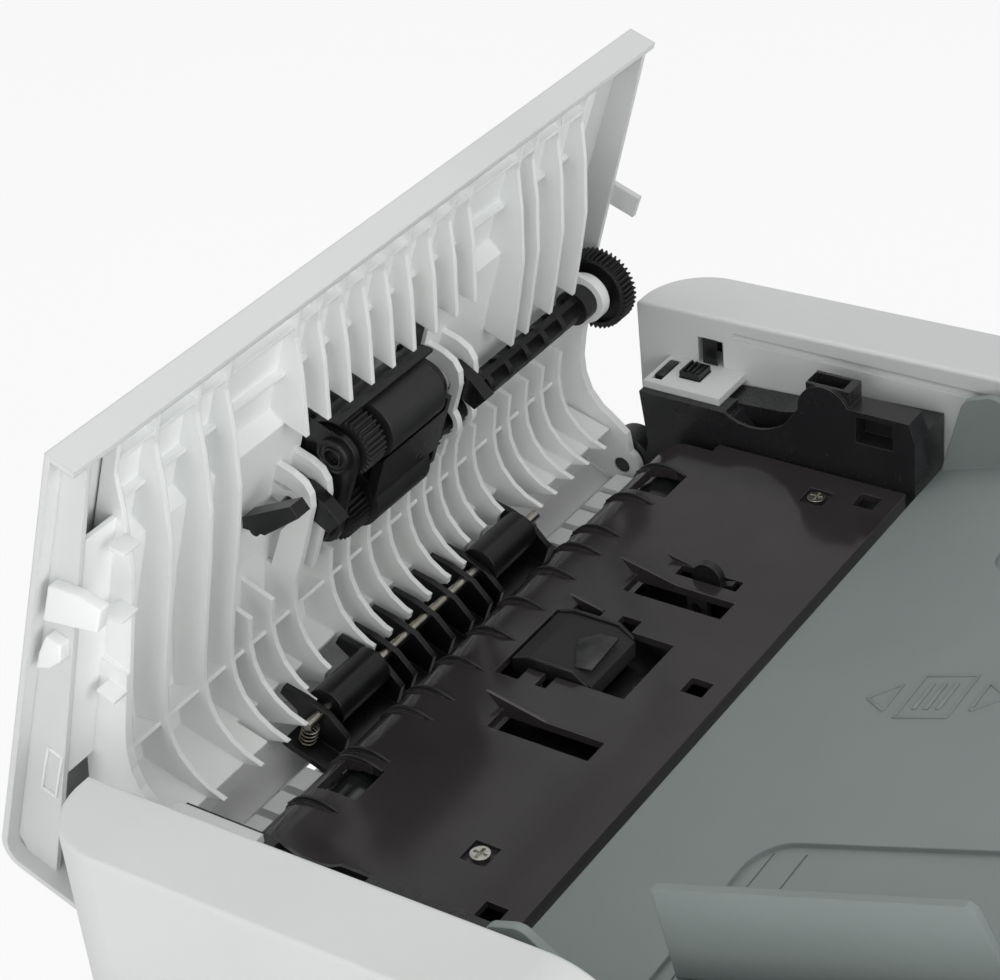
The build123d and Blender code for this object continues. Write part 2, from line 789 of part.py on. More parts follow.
carriage_high = table_to_glass - 2 * scanner_wall - carriage_top_gap
with BuildPart() as scan_carriage:
    block(carriage_x - carriage_width / 2, carriage_x + carriage_width / 2, carriage_front, carriage_rear,
          carriage_high - carriage_height, carriage_high)
    block(carriage_x - carriage_width / 4, carriage_x + carriage_width / 4, carriage_front + carriage_width,
          carriage_rear - carriage_width, carriage_high - wall, carriage_high + wall, Mode.SUBTRACT)
    with BuildSketch(Plane(origin=(carriage_x - carriage_width, feed_y, rail_z), x_dir=(0, 1, 0),
                           z_dir=(1, 0, 0))):
        Circle(rail_radius + button_gap)
    extrude(amount=2 * carriage_width, mode=Mode.SUBTRACT)
save(scan_carriage, "scan_carriage")

# control panel
panel_rear = scanner_front - panel_rear_gap
panel_top_front = panel_rear - panel_top_depth
panel_lean = math.atan2(panel_top_front + half_depth, panel_high - panel_low - panel_nose)
face_length = math.hypot(panel_top_front + half_depth, panel_high - panel_low - panel_nose)
face_y = (panel_top_front - half_depth) / 2
face_z = (panel_low + panel_nose + panel_high) / 2


def face_plane(x_at, lift):
    normal = (0, -math.cos(panel_lean), math.sin(panel_lean))
    return Plane(origin=(x_at, face_y + normal[1] * lift, face_z + normal[2] * lift), x_dir=(1, 0, 0),
                 z_dir=normal)


key_slots = [("back_key", key_x), ("ok_key", key_x + key_pitch), ("cancel_key", key_x + 2 * key_pitch),
             ("start_key", key_x + 3.4 * key_pitch), ("power_button", power_x)]
with BuildPart() as control_panel:
    with BuildSketch(Plane(origin=(-half_width, 0, 0), x_dir=(0, 1, 0), z_dir=(1, 0, 0))):
        with BuildLine():
            Polyline(
                (panel_rear, panel_low), (panel_nose - half_depth, panel_low), (-half_depth, panel_low + panel_nose),
                (panel_top_front, panel_high), (panel_rear, panel_high), close=True,
            )
        make_face()
    extrude(amount=body_width)
    for tongue_x in (-lid_arm_x, 0.0, lid_arm_x):
        block(tongue_x - lid_arm_half, tongue_x + lid_arm_half, panel_rear, scanner_front,
              table_to_scanner + 2 * scanner_wall, table_to_glass - 3 * scanner_wall)
    with BuildSketch(face_plane(display_x, seam)):
        RectangleRounded(display_width + 2 * key_gap, display_height + 2 * key_gap, key_gap + door_wall)
    extrude(amount=-wall - seam, mode=Mode.SUBTRACT)
    for name, x_at in key_slots:
        with BuildSketch(face_plane(x_at, seam)):
            Circle(key_radius + key_gap)
        extrude(amount=-key_depth - seam - key_rise, mode=Mode.SUBTRACT)
save(control_panel, "control_panel")

with BuildPart() as display_window:
    with BuildSketch(face_plane(display_x, display_rise)):
        RectangleRounded(display_width, display_height, door_wall)
    extrude(amount=-wall - display_rise + running_fit)
save(display_window, "display_window")

for name, x_at in key_slots:
    with BuildPart() as panel_key:
        with BuildSketch(face_plane(x_at, key_rise)):
            Circle(key_radius)
        extrude(amount=-key_depth)
    save(panel_key, name)

# feeder housing: floor, two rims and the rear deck
screws = [(screw_x, screw_front), (screw_x, screw_rear)]
rim_points = [
    (rim_left, floor_low), (rim_left, rim_top_left), (rim_straight_end, rim_top_right),
    (rim_foot_end, rim_foot_height), (rim_foot_end, floor_low),
]
with BuildPart() as feeder_housing:
    for sign in (-1, 1):
        corner = (feed_x + rim_left, feed_y + sign * rim_half_depth)
        with BuildSketch(Plane.XY.offset(feed_z + floor_low)) as plan:
            with BuildLine():
                Polyline(
                    corner, (feed_x + rim_foot_end, feed_y + sign * rim_half_depth),
                    (feed_x + rim_foot_end, feed_y + sign * channel_half_depth),
                    (feed_x + rim_left, feed_y + sign * channel_half_depth), close=True,
                )
            make_face()
            fillet(plan.vertices().sort_by_distance((*corner, 0))[0], rim_plan_round)
        extrude(amount=rim_top_right - floor_low)
    with BuildSketch(feed_plane(rim_half_depth)) as profile:
        with BuildLine():
            Polyline(*rim_points, close=True)
        make_face()
        fillet(profile.vertices().sort_by_distance((rim_straight_end, rim_top_right, 0))[0], 2 * rim_corner)
    extrude(amount=2 * rim_half_depth, mode=Mode.INTERSECT)
    crisp = [edge for edge in feeder_housing.edges() if edge.center().Z > feed_z + rim_top_left - rim_edge_round]
    fillet(crisp, rim_edge_round)
    for sign in (-1, 1):
        start = min(sign * channel_half_depth, sign * (channel_half_depth + rim_groove_depth))
        feed_block(rim_groove_left, rim_straight_end, start - running_fit, start + rim_groove_depth + running_fit,
                   rim_groove_top - rim_groove_height, rim_groove_top, Mode.SUBTRACT)
        inner = min(sign * ledge_inner, sign * (channel_half_depth + seam))
        outer = max(sign * ledge_inner, sign * (channel_half_depth + seam))
        feed_block(ledge_left, ledge_right, inner, outer, ledge_top - ledge_thickness, ledge_top)
    feed_block(rim_left, housing_right, -rim_half_depth, rim_half_depth, floor_low, floor_top)
    feed_block(rim_foot_end - rim_corner, housing_right, -rim_half_depth, rim_half_depth, floor_top, rear_deck_top)
    for sign in (-1, 1):
        corner_x = feed_x + rim_left
        with BuildSketch(Plane.XY.offset(feed_z + floor_low)):
            with BuildLine():
                edge_y = feed_y + sign * rim_half_depth
                arc_mid = rim_plan_round * (1 - math.sqrt(0.5))
                ThreePointArc(
                    (corner_x, edge_y - sign * rim_plan_round), (corner_x + arc_mid, edge_y - sign * arc_mid),
                    (corner_x + rim_plan_round, edge_y),
                )
                Polyline((corner_x + rim_plan_round, edge_y), (corner_x, edge_y),
                         (corner_x, edge_y - sign * rim_plan_round))
            make_face()
        extrude(amount=floor_top - floor_low, mode=Mode.SUBTRACT)
    feed_block(ledge_slot_left, ledge_slot_left + ledge_slot_width, ledge_inner + ledge_thickness,
               channel_half_depth - ledge_thickness, ledge_top - 2 * ledge_thickness, ledge_top + seam, Mode.SUBTRACT)
    for post_x, post_y in screws:
        top_plane = Plane(origin=(feed_x + post_x, feed_y + post_y, feed_z + floor_top), x_dir=(1, 0, 0), z_dir=(0, 0, 1))
        disc(top_plane, 0, 0, post_radius, -deck_thickness - floor_top)
        disc(top_plane, 0, 0, screw_radius, -floor_top, Mode.SUBTRACT)
    feed_block(pad_left + pad_chamfer, pad_right - pad_chamfer, -pad_half / 2, pad_half / 2, floor_top, -pad_drop)
    hole = button_size / 2 + button_gap
    feed_block(button_x - hole, button_x + hole, button_y - hole, button_y + hole,
               ledge_top - 2 * ledge_thickness, ledge_top + seam, Mode.SUBTRACT)
    feed_block(button_window_x - button_window / 2, button_window_x + button_window / 2, channel_half_depth - seam,
               channel_half_depth + button_window, ledge_top, ledge_top + button_window, Mode.SUBTRACT)
    for sign in (-1, 1):
        with BuildSketch(Plane(origin=(sign * lid_arm_x - lid_arm_half, 0, 0), x_dir=(0, 1, 0), z_dir=(1, 0, 0))):
            with BuildLine():
                Polyline(
                    (feed_y + rim_half_depth - rim_corner, lid_axis_z - lid_arm_radius),
                    (lid_axis_y, lid_axis_z - lid_arm_radius), (lid_axis_y, lid_axis_z + lid_arm_radius),
                    (feed_y + rim_half_depth - rim_corner, lid_axis_z + lid_arm_radius), close=True,
                )
            make_face()
            with Locations((lid_axis_y, lid_axis_z)):
                Circle(lid_arm_radius)
                Circle(lid_pin_radius + running_fit, mode=Mode.SUBTRACT)
        extrude(amount=2 * lid_arm_half)
save(feeder_housing, "feeder_housing")

with BuildPart() as lid_pad:
    feed_block(rim_left + lid_pad_margin, housing_right - lid_pad_margin, -rim_half_depth + lid_pad_margin,
               rim_half_depth - lid_pad_margin, floor_low - lid_pad_thickness, floor_low)
save(lid_pad, "lid_pad")

with BuildPart() as latch_button:
    feed_block(button_x - button_size / 2, button_x + button_size / 2, button_y - button_size / 2,
               button_y + button_size / 2, ledge_top + button_rise - button_depth, ledge_top + button_rise)
save(latch_button, "latch_button")

# black paper deck with its fins, slots and openings
def arc_point(radius, degrees):
    turn = math.radians(degrees)
    return (drive_roller_x + radius * math.cos(turn), drive_roller_z + radius * math.sin(turn))


def ring_sector(y_at, inner, outer, start, end, length):
    middle = (start + end) / 2
    with BuildSketch(feed_plane(y_at)) as face:
        with BuildLine():
            ThreePointArc(arc_point(inner, start), arc_point(inner, middle), arc_point(inner, end))
            Line(arc_point(inner, end), arc_point(outer, end))
            ThreePointArc(arc_point(outer, end), arc_point(outer, middle), arc_point(outer, start))
            Line(arc_point(outer, start), arc_point(inner, start))
        make_face()
    extrude(face.sketch, amount=length)


bar_radius = drive_roller_radius + deck_fin_gap
nose_radius = -drive_roller_z
with BuildPart() as paper_deck:
    feed_block(deck_left, deck_right, -deck_half_depth, deck_half_depth, -deck_thickness, 0.0)
    feed_block(deck_right - deck_thickness, deck_right, -deck_half_depth, deck_half_depth, -deck_skirt, 0.0)
    bar_end = drive_roller_half + seam + nose_plate_thickness
    ring_sector(bar_end, bar_radius, nose_radius, 90.0, nose_end, 2 * bar_end)
    feed_block(drive_roller_x, deck_left + seam, -bar_end, bar_end, drive_roller_z + bar_radius, 0.0)
    for window_y in nose_window_offsets:
        feed_block(drive_roller_x - nose_window_reach, deck_left, window_y - nose_window_width / 2,
                   window_y + nose_window_width / 2, drive_roller_z + drive_roller_radius, seam, Mode.SUBTRACT)
    for share in deck_fin_share:
        fin_near = share * deck_half_depth + deck_fin_thickness / 2
        beside_roller = abs(abs(share * deck_half_depth) - idler_offset) < idler_roller_width / 2 + fin_margin
        end = deck_fin_stop if beside_roller else deck_fin_to
        ring_sector(fin_near, bar_radius, nose_radius + deck_fin_rise, 90.0, nose_fin_end, deck_fin_thickness)
        ring_sector(fin_near, bar_radius, bar_radius + deck_fin_height, nose_fin_end - nose_fin_overlap, end,
                    deck_fin_thickness)
        feed_block(drive_roller_x, drive_roller_x + deck_fin_lead, fin_near - deck_fin_thickness, fin_near,
                   -deck_thickness, deck_fin_rise)
    ring_sector(bar_end, bar_radius, bar_radius + nose_bar_depth, deck_fin_to - 2.0, deck_fin_to + nose_bar_sweep,
                2 * bar_end)
    for sign in (-1, 1):
        plate = max(sign * (drive_roller_half + seam), sign * (drive_roller_half + seam + nose_plate_thickness))
        slab(feed_plane(plate),
             [(deck_left + seam, 0.0), (drive_roller_x - 5.0, -1.2), (drive_roller_x - 11.6, -6.8),
              (drive_roller_x - 13.2, drive_roller_z), (drive_roller_x - 11.8, -21.6),
              (drive_roller_x - 7.0, -26.0), (drive_roller_x + 5.0, -26.0), (deck_left + seam, -20.0)],
             nose_plate_thickness)
        disc(feed_plane(plate + seam), drive_roller_x, drive_roller_z, drive_shaft_radius + running_fit,
             nose_plate_thickness + 2 * seam, Mode.SUBTRACT)
    for well_x, well_y in screws:
        well = screw_well_size / 2
        feed_block(well_x - well, well_x + well, well_y - well, well_y + well, -screw_well, seam, Mode.SUBTRACT)
        disc(Plane(origin=(feed_x + well_x, feed_y + well_y, feed_z - deck_skirt), x_dir=(1, 0, 0),
                   z_dir=(0, 0, 1)), 0, 0, screw_radius, 2 * deck_skirt, Mode.SUBTRACT)
    for hole_y in (-deck_hole_offset, 0.0, deck_hole_offset):
        feed_block(deck_hole_x - deck_hole / 2, deck_hole_x + deck_hole / 2, hole_y - deck_hole / 2,
                   hole_y + deck_hole / 2, -2 * deck_thickness,
                   deck_thickness, Mode.SUBTRACT)
    feed_block(pad_opening_left, pad_opening_right, -pad_opening_half, pad_opening_half, -2 * deck_thickness,
               deck_thickness, Mode.SUBTRACT)
    for sign, bay_left, bay_right in pad_bays:
        bay_end = sign * (pad_opening_half + pad_bay_depth)
        feed_block(bay_left, bay_right, min(0.0, bay_end), max(0.0, bay_end), -2 * deck_thickness, deck_thickness,
                   Mode.SUBTRACT)
    for wall_y in (blade_front, blade_rear):
        feed_block(slot_left, slot_right, wall_y - slot_width, wall_y, -2 * deck_thickness, deck_thickness,
                   Mode.SUBTRACT)
    feed_block(flag_slot_left, flag_slot_right, flag_slot_y - flag_slot_width / 2, flag_slot_y + flag_slot_width / 2,
               -2 * deck_thickness, deck_thickness, Mode.SUBTRACT)
    for wall_y in (blade_front, blade_rear):
        slab(feed_plane(wall_y + blade_thickness),
             [(slot_left + 1.0, -deck_thickness), (blade_left, blade_rise), (blade_end, 0.2),
              (slot_right, 0.2), (slot_right, -deck_thickness)], blade_thickness)
    slab(feed_plane(flag_blade_y), [(-33.0, -deck_thickness), (-37.4, 2.0), (-29.0, 0.2), (-29.0, -deck_thickness)],
         blade_thickness)
    slab(feed_plane(pad_opening_half + pad_bay_depth),
         [(-46.6, -deck_thickness), (-50.6, 2.4), (-41.0, 0.2), (-38.8, -deck_thickness)], blade_thickness)
    for side in (-1, 1):
        bearing_y = flag_y - 1.3 + side * (flag_pin_half - flag_bearing / 2)
        feed_block(flag_pin_x - 3.0, flag_pin_x + 3.0, bearing_y - flag_bearing / 2, bearing_y + flag_bearing / 2,
                   -deck_thickness - flag_pin_drop - 3.0, -deck_thickness)
        disc(feed_plane(bearing_y + flag_bearing), flag_pin_x, -deck_thickness - flag_pin_drop,
             stop_rod_radius + running_fit, 2 * flag_bearing, Mode.SUBTRACT)
save(paper_deck, "paper_deck")

with BuildPart() as deck_screws:
    for well_x, well_y in screws:
        top = feed_z - screw_well
        with BuildSketch(Plane(origin=(feed_x + well_x, feed_y + well_y, top), x_dir=(1, 0, 0), z_dir=(0, 0, 1))):
            Circle(screw_head_radius)
        extrude(amount=screw_head_height)
        with BuildSketch(Plane(origin=(feed_x + well_x, feed_y + well_y, top), x_dir=(1, 0, 0), z_dir=(0, 0, -1))):
            Circle(screw_radius)
        extrude(amount=deck_skirt)
        with BuildSketch(Plane(origin=(feed_x + well_x, feed_y + well_y, top + screw_head_height / 2),
                               x_dir=(1, 0, 0), z_dir=(0, 0, 1))):
            Rectangle(1.5 * screw_head_radius, screw_cross)
            Rectangle(screw_cross, 1.5 * screw_head_radius)
        extrude(amount=screw_head_height, mode=Mode.SUBTRACT)
save(deck_screws, "deck_screws")

with BuildPart() as separation_pad:
    slab(feed_plane(pad_half),
         [(pad_left, -pad_drop), (pad_left, 0.4), (pad_left + pad_chamfer, pad_top), (pad_right - pad_chamfer, pad_top),
          (pad_right, -1.4), (pad_right, -pad_drop)], 2 * pad_half)
save(separation_pad, "separation_pad")

with BuildPart() as paper_flag:
    disc(feed_plane(flag_y), flag_pin_x, 0.6, 4.4, 2.6)
    slab(feed_plane(flag_y), [(-25.0, -6.0), (-18.2, -0.4), (-14.6, 0.8), (-14.4, -1.2), (-19.0, -7.0)], 2.6)
    disc(feed_plane(flag_y - 1.3 + flag_pin_half), flag_pin_x, -deck_thickness - flag_pin_drop, stop_rod_radius,
         2 * flag_pin_half)
save(paper_flag, "paper_flag")

with BuildPart() as drive_roller:
    disc(feed_plane(drive_roller_half), drive_roller_x, drive_roller_z, drive_roller_radius, 2 * drive_roller_half)
    shaft_half = drive_roller_half + nose_plate_thickness + 2 * seam
    disc(feed_plane(shaft_half), drive_roller_x, drive_roller_z, drive_shaft_radius, 2 * shaft_half)
save(drive_roller, "drive_roller")

# white lower guide of the turn: a comb of rounded blocks on a sill
comb_left = -90.6
comb_right = -79.0
comb_top = -16.2
comb_sill = -25.4
comb_block = 8.0
comb_pitch = 10.6
comb_inner = 62.2
comb_count = 4
comb_sill_right = -72.6
with BuildPart() as turn_guide:
    feed_block(comb_left, comb_sill_right, -arm_inner + seam, arm_inner - seam, floor_top, comb_sill)
    for sign in (-1, 1):
        for index in range(comb_count):
            block_y = sign * (comb_inner + index * comb_pitch)
            slab(feed_plane(block_y + comb_block / 2),
                 [(comb_left, comb_sill), (comb_right, comb_sill), (comb_right, comb_top - 2.0),
                  (comb_right - 2.0, comb_top), (comb_left + 4.0, comb_top), (comb_left, comb_top - 4.0)], comb_block)
save(turn_guide, "turn_guide")

# black side frames with the cover's hinge pins, the shaft's notch and the gear's well
well_x = hinge_u + shaft_u
well_z = hinge_w + shaft_w
well_radius = gear_module * (drive_gear_teeth + 2) / 2 + gear_well_gap
ledge_under = ledge_top - ledge_thickness
tab_x = hinge_u + cover_tab_u
tab_reach = cover_tab_width / 2 + cover_tab_gap
tab_inner = cover_half_depth - cover_lip - cover_tab_gap
tab_outer = cover_half_depth - cover_lip + cover_skin + cover_tab_gap
tab_bottom = hinge_w + cover_tab_end - cover_tab_gap
shelf_points = [
    (notch_left - 6.0, floor_top), (notch_left - 6.0, frame_shelf_left), (-38.0, 9.4), (-18.0, 14.4),
    (frame_right, frame_shelf_right), (frame_right, floor_top),
]
for name, sign in (("side_frame_front", -1), ("side_frame_rear", 1)):
    web_far = sign * (frame_inner + frame_web)
    far = sign * (frame_inner + frame_thickness)
    wall_far = sign * (channel_half_depth - seam)
    with BuildPart() as side_frame:
        with BuildSketch(feed_plane(max(sign * frame_inner, web_far))):
            with BuildLine():
                ThreePointArc((notch_left, ledge_under), (well_x - 2.0, well_z - notch_radius), (-32.8, 11.4))
                Line((-32.8, 11.4), (-28.4, 17.6))
                ThreePointArc((-28.4, 17.6), (-21.8, frame_hump), (-12.6, 21.6))
                Polyline(
                    (-12.6, 21.6), (frame_right - 2.0, 21.6), (frame_right, frame_shelf_right),
                    (frame_right, floor_top), (-86.0, floor_top), (-80.0, -8.0), (-82.0, ledge_under),
                    (notch_left, ledge_under),
                )
            make_face()
        extrude(amount=frame_web)
        with BuildSketch(feed_plane(max(web_far, far))):
            with BuildLine():
                Polyline(
                    (-86.0, floor_top), (-80.0, -8.0), (-82.0, ledge_under), (notch_left, ledge_under),
                    (notch_left, well_z - notch_radius), (-30.0, well_z - notch_radius), (-30.0, frame_hump),
                    (socket_right + 2.4, frame_hump), (socket_right + 2.4, 21.6), (frame_right - 2.0, 21.6),
                    (frame_right, frame_shelf_right), (frame_right, floor_top), close=True,
                )
            make_face()
            with Locations((well_x, well_z)):
                Circle(well_radius, mode=Mode.SUBTRACT)
            with Locations((well_x, well_z + well_radius)):
                Rectangle(2 * well_radius, 2 * well_radius, mode=Mode.SUBTRACT)
        extrude(amount=frame_thickness - frame_web)
        slab(feed_plane(max(far, wall_far)), shelf_points, abs(wall_far - far))
        disc(feed_plane(max(sign * frame_inner, far)), hinge_u, hinge_w, frame_boss_radius, frame_thickness)
        face = min(sign * (frame_inner - seam), sign * (frame_inner + pocket_depth))
        back = max(sign * (frame_inner - seam), sign * (frame_inner + pocket_depth))
        feed_block(pocket_left, pocket_right, face, back, pocket_low, pocket_high, Mode.SUBTRACT)
        near = min(sign * (frame_inner + 2 * frame_web), far - sign * frame_web)
        end = max(sign * (frame_inner + 2 * frame_web), far - sign * frame_web)
        feed_block(socket_left, socket_right, near, end, frame_hump - socket_depth, frame_hump + seam, Mode.SUBTRACT)
        tab_near = min(sign * tab_inner, sign * tab_outer)
        feed_block(tab_x - tab_reach, tab_x + tab_reach, tab_near, tab_near + tab_outer - tab_inner, tab_bottom,
                   frame_hump, Mode.SUBTRACT)
        if sign < 0:
            feed_block(notch_left, frame_right + seam, wall_far - seam, -frame_inner + seam, ledge_under,
                       frame_hump + seam, Mode.SUBTRACT)
        pin_start = max(sign * frame_inner, sign * (arm_inner + seam))
        disc(feed_plane(pin_start), hinge_u, hinge_w, hinge_pin_radius, frame_inner - arm_inner - seam)
    save(side_frame, name)

# jam cover shell
top_inner_left = cover_top_left - cover_skin
top_inner_right = cover_top_right - cover_skin
with BuildPart() as cover_shell:
    with BuildSketch(cover_plane(cover_half_depth)) as shell_face:
        with BuildLine():
            Polyline(
                (cover_left, left_wall_foot), (cover_left, cover_top_left), (cover_right, cover_top_right),
                (cover_right, cover_top_right - free_wall_depth),
                (cover_right - cover_skin, cover_top_right - free_wall_depth),
                (cover_right - cover_skin, top_inner_right), (cover_left + cover_skin, top_inner_left),
                (cover_left + cover_skin, left_wall_foot), close=True,
            )
        make_face()
        fillet(shell_face.vertices().sort_by_distance((cover_left, cover_top_left, 0))[0], cover_corner)
        inner_corner = (cover_left + cover_skin, top_inner_left, 0)
        fillet(shell_face.vertices().sort_by_distance(inner_corner)[0], cover_corner - cover_skin)
    extrude(amount=2 * cover_half_depth)
    for sign in (-1, 1):
        wall_near = sign * (cover_half_depth - cover_lip - cover_end_wall)
        wall_far = sign * (cover_half_depth - cover_lip)
        slab(cover_plane(max(wall_near, wall_far)),
             [(cover_left + 3 * cover_skin, top_inner_left), (cover_left + cover_skin, top_inner_left - 2 * cover_skin),
              (cover_left + cover_skin, top_inner_left - end_wall_depth),
              (cover_right - cover_skin, cover_top_right - free_wall_depth),
              (cover_right - cover_skin, top_inner_right)], cover_end_wall)
    cover_box(cover_tab_u - cover_tab_width / 2, cover_tab_u + cover_tab_width / 2, cover_tab_end,
              cover_top_left - cover_skin / 2, cover_half_depth - cover_lip, cover_half_depth - cover_lip + cover_skin)
save(cover_shell, "cover_shell")

# paper guide panel with its ribs
rib_edge = [(u * cover_right, w * cover_top_right) for u, w in rib_edge_share]


def shell_under(u_at):
    share = (u_at - cover_left) / (cover_right - cover_left)
    return cover_top_left + share * (cover_top_right - cover_top_left) - cover_skin


def inset_outline(points, distance):
    moved = []
    for index, (x_at, z_at) in enumerate(points):
        before = points[max(index - 1, 0)]
        after = points[min(index + 1, len(points) - 1)]
        along = (after[0] - before[0], after[1] - before[1])
        size = math.hypot(*along)
        moved.append((x_at - along[1] / size * distance, z_at + along[0] / size * distance))
    return moved


def skin_face(depth):
    deep = rib_shell_gap + rib_skin - depth
    top = skin_step + skin_step_run - depth
    face = [(skin_start, shell_under(skin_start) - deep), (top, shell_under(top) - deep)]
    return face + inset_outline(skin_low_line, -depth)


rib_under = skin_face(rib_skin / 2)
skin_low = skin_face(0.0)
skin_high = skin_face(rib_skin)


def at_share(curve, u_at):
    for first, second in zip(curve, curve[1:]):
        if second[0] <= u_at <= first[0]:
            part = (u_at - first[0]) / (second[0] - first[0])
            return (u_at, first[1] + part * (second[1] - first[1]))
    return curve[-1]


def span(curve, u_from, u_to):
    points = [point for point in curve if u_from + seam < point[0] < u_to - seam]
    if u_to < curve[0][0]:
        points = [at_share(curve, u_to)] + points
    if u_from > curve[-1][0]:
        points = points + [at_share(curve, u_from)]
    return points


def web(line, y0, y1, start=None):
    (u0, w0), (u1, w1) = line
    if start is not None:
        u0, w0 = u0 + (u1 - u0) * (start - w0) / (w1 - w0), start
    half = web_thickness / 2
    size = math.hypot(u1 - u0, w1 - w0)
    side = ((w1 - w0) / size * half, (u0 - u1) / size * half)
    slab(cover_plane(y1), [(u0 - side[0], w0 - side[1]), (u0 + side[0], w0 + side[1]), (u1 + side[0], w1 + side[1]),
                           (u1 - side[0], w1 - side[1])], y1 - y0)


def rib_span(y_at, u_from, u_to):
    outline = span(rib_edge, u_from, u_to) + span(rib_under, u_from, u_to)[::-1]
    slab(cover_plane(y_at + rib_thickness / 2), outline, rib_thickness)


def end_wall_edge(u_at):
    first = (cover_left + cover_skin, top_inner_left - end_wall_depth)
    last = (cover_right - cover_skin, cover_top_right - free_wall_depth)
    part = (u_at - first[0]) / (last[0] - first[0])
    return (u_at, first[1] + part * (last[1] - first[1]))


end_floor = [end_wall_edge(end_floor_start), end_wall_edge(end_floor_stop)]
end_floor_far = cover_half_depth - cover_lip - cover_end_wall - rib_shell_gap
with BuildPart() as guide_ribs:
    slab(cover_plane(-panel_half_depth + seam),
         [(u, w + end_floor_rise) for u, w in end_floor]
         + [(u, w + end_floor_rise + rib_skin) for u, w in end_floor[::-1]],
         end_floor_far - panel_half_depth + seam)
    slab(cover_plane(panel_half_depth), skin_low + skin_high[::-1], 2 * panel_half_depth)
    cover_box(low_rib_stop, module_rib_stop, shaft_w - module_radius, shell_under(0) - seam, -module_hole_half,
              module_hole_half, Mode.SUBTRACT)
    for share in front_rib_share:
        rib_span(share * cover_half_depth, 0, cover_right)
    for share in front_low_rib_share + module_low_rib_share + rear_low_rib_share:
        rib_span(share * cover_half_depth, 0, low_rib_stop)
    for share in module_rib_share:
        rib_span(share * cover_half_depth, module_rib_stop, cover_right)
    for share in rear_rib_share:
        rib_span(share * cover_half_depth, rear_rib_stop, cover_right)
    for u_at, w_at in high_webs:
        web([(u_at, w_at), (u_at, shell_under(u_at) - rib_shell_gap - rib_skin / 2)], -panel_half_depth,
            rear_rib_share[-1] * cover_half_depth)
    web(low_web, -panel_half_depth, rear_low_rib_share[-1] * cover_half_depth)
    web(foot_web, -arm_inner + seam, -holder_half - web_margin)
    web(foot_web, holder_half + web_margin, arm_inner - seam)
    web(foot_web, -holder_half - web_margin, holder_half + web_margin, foot_web_middle)
    cover_box(holder_back, idler_u - 4.6, -10.0, idler_w + 6.6, -holder_half - 1.4, holder_half + 1.4, Mode.SUBTRACT)
    cover_box(holder_back, idler_u + 6.0, -10.0, idler_w + 2.6, -idler_half_length - 0.4, idler_half_length + 0.4,
              Mode.SUBTRACT)
    for sign in (-1, 1):
        disc(cover_plane(sign * idler_offset + idler_roller_width / 2 + seam), idler_u, idler_w,
             idler_radius + 2 * seam, idler_roller_width + 2 * seam, Mode.SUBTRACT)
        arm_near = sign * arm_inner
        arm_far = sign * (arm_inner + arm_width)
        arm_top = arm_top_front if sign < 0 else arm_top_rear
        arm_edge = span(rib_edge, rib_edge[-1][0] - seam, arm_top)
        slab(cover_plane(max(arm_near, arm_far)),
             [(-arm_boss_radius, 0), (-5.4, 20.0), (3.0, 32.0), (22.0, 36.0), (arm_top, 38.0)] + arm_edge
             + [(11.6, 2.0), (arm_boss_radius, -1.0)], arm_width)
        disc(cover_plane(max(arm_near, arm_far)), 0, 0, arm_boss_radius, arm_width)
        disc(cover_plane(max(arm_near, arm_far) + seam), 0, 0, hinge_pin_radius + running_fit, arm_width + 2 * seam,
             Mode.SUBTRACT)
    for claw_y in (claw_front, claw_rear):
        for side in (-1, 1):
            hook_y = claw_y + side * (claw_width / 2 + hook_gap + hook_thickness / 2)
            slab(cover_plane(hook_y + hook_thickness / 2), hook_outline, hook_thickness)
            disc(cover_plane(hook_y + hook_thickness / 2), stop_u, stop_w, hook_eye, hook_thickness)
            cover_box(stop_u - hook_post, stop_u + hook_post, stop_w, at_share(skin_low, stop_u)[1] + rib_skin / 2,
                      hook_y - hook_thickness / 2, hook_y + hook_thickness / 2)
            if claw_y == claw_rear:
                disc(cover_plane(hook_y + hook_thickness / 2), shaft_u, shaft_w,
                     shaft_radius + hook_gap + hook_shaft_wall, hook_thickness)
                disc(cover_plane(hook_y + hook_thickness), shaft_u, shaft_w, shaft_radius + hook_gap,
                     2 * hook_thickness, Mode.SUBTRACT)
            disc(cover_plane(hook_y + hook_thickness), stop_u, stop_w, stop_rod_radius + running_fit,
                 2 * hook_thickness, Mode.SUBTRACT)
    disc(cover_plane(hub_front + hub_width), shaft_u, shaft_w, hub_radius, hub_width)
    cover_box(shaft_u - hub_radius, shaft_u + hub_radius, shaft_w, at_share(skin_low, shaft_u)[1] + rib_skin, hub_front,
              panel_half_depth)
    disc(cover_plane(hub_front + 2 * hub_width), shaft_u, shaft_w, shaft_radius + running_fit, 3 * hub_width,
         Mode.SUBTRACT)
save(guide_ribs, "guide_ribs")

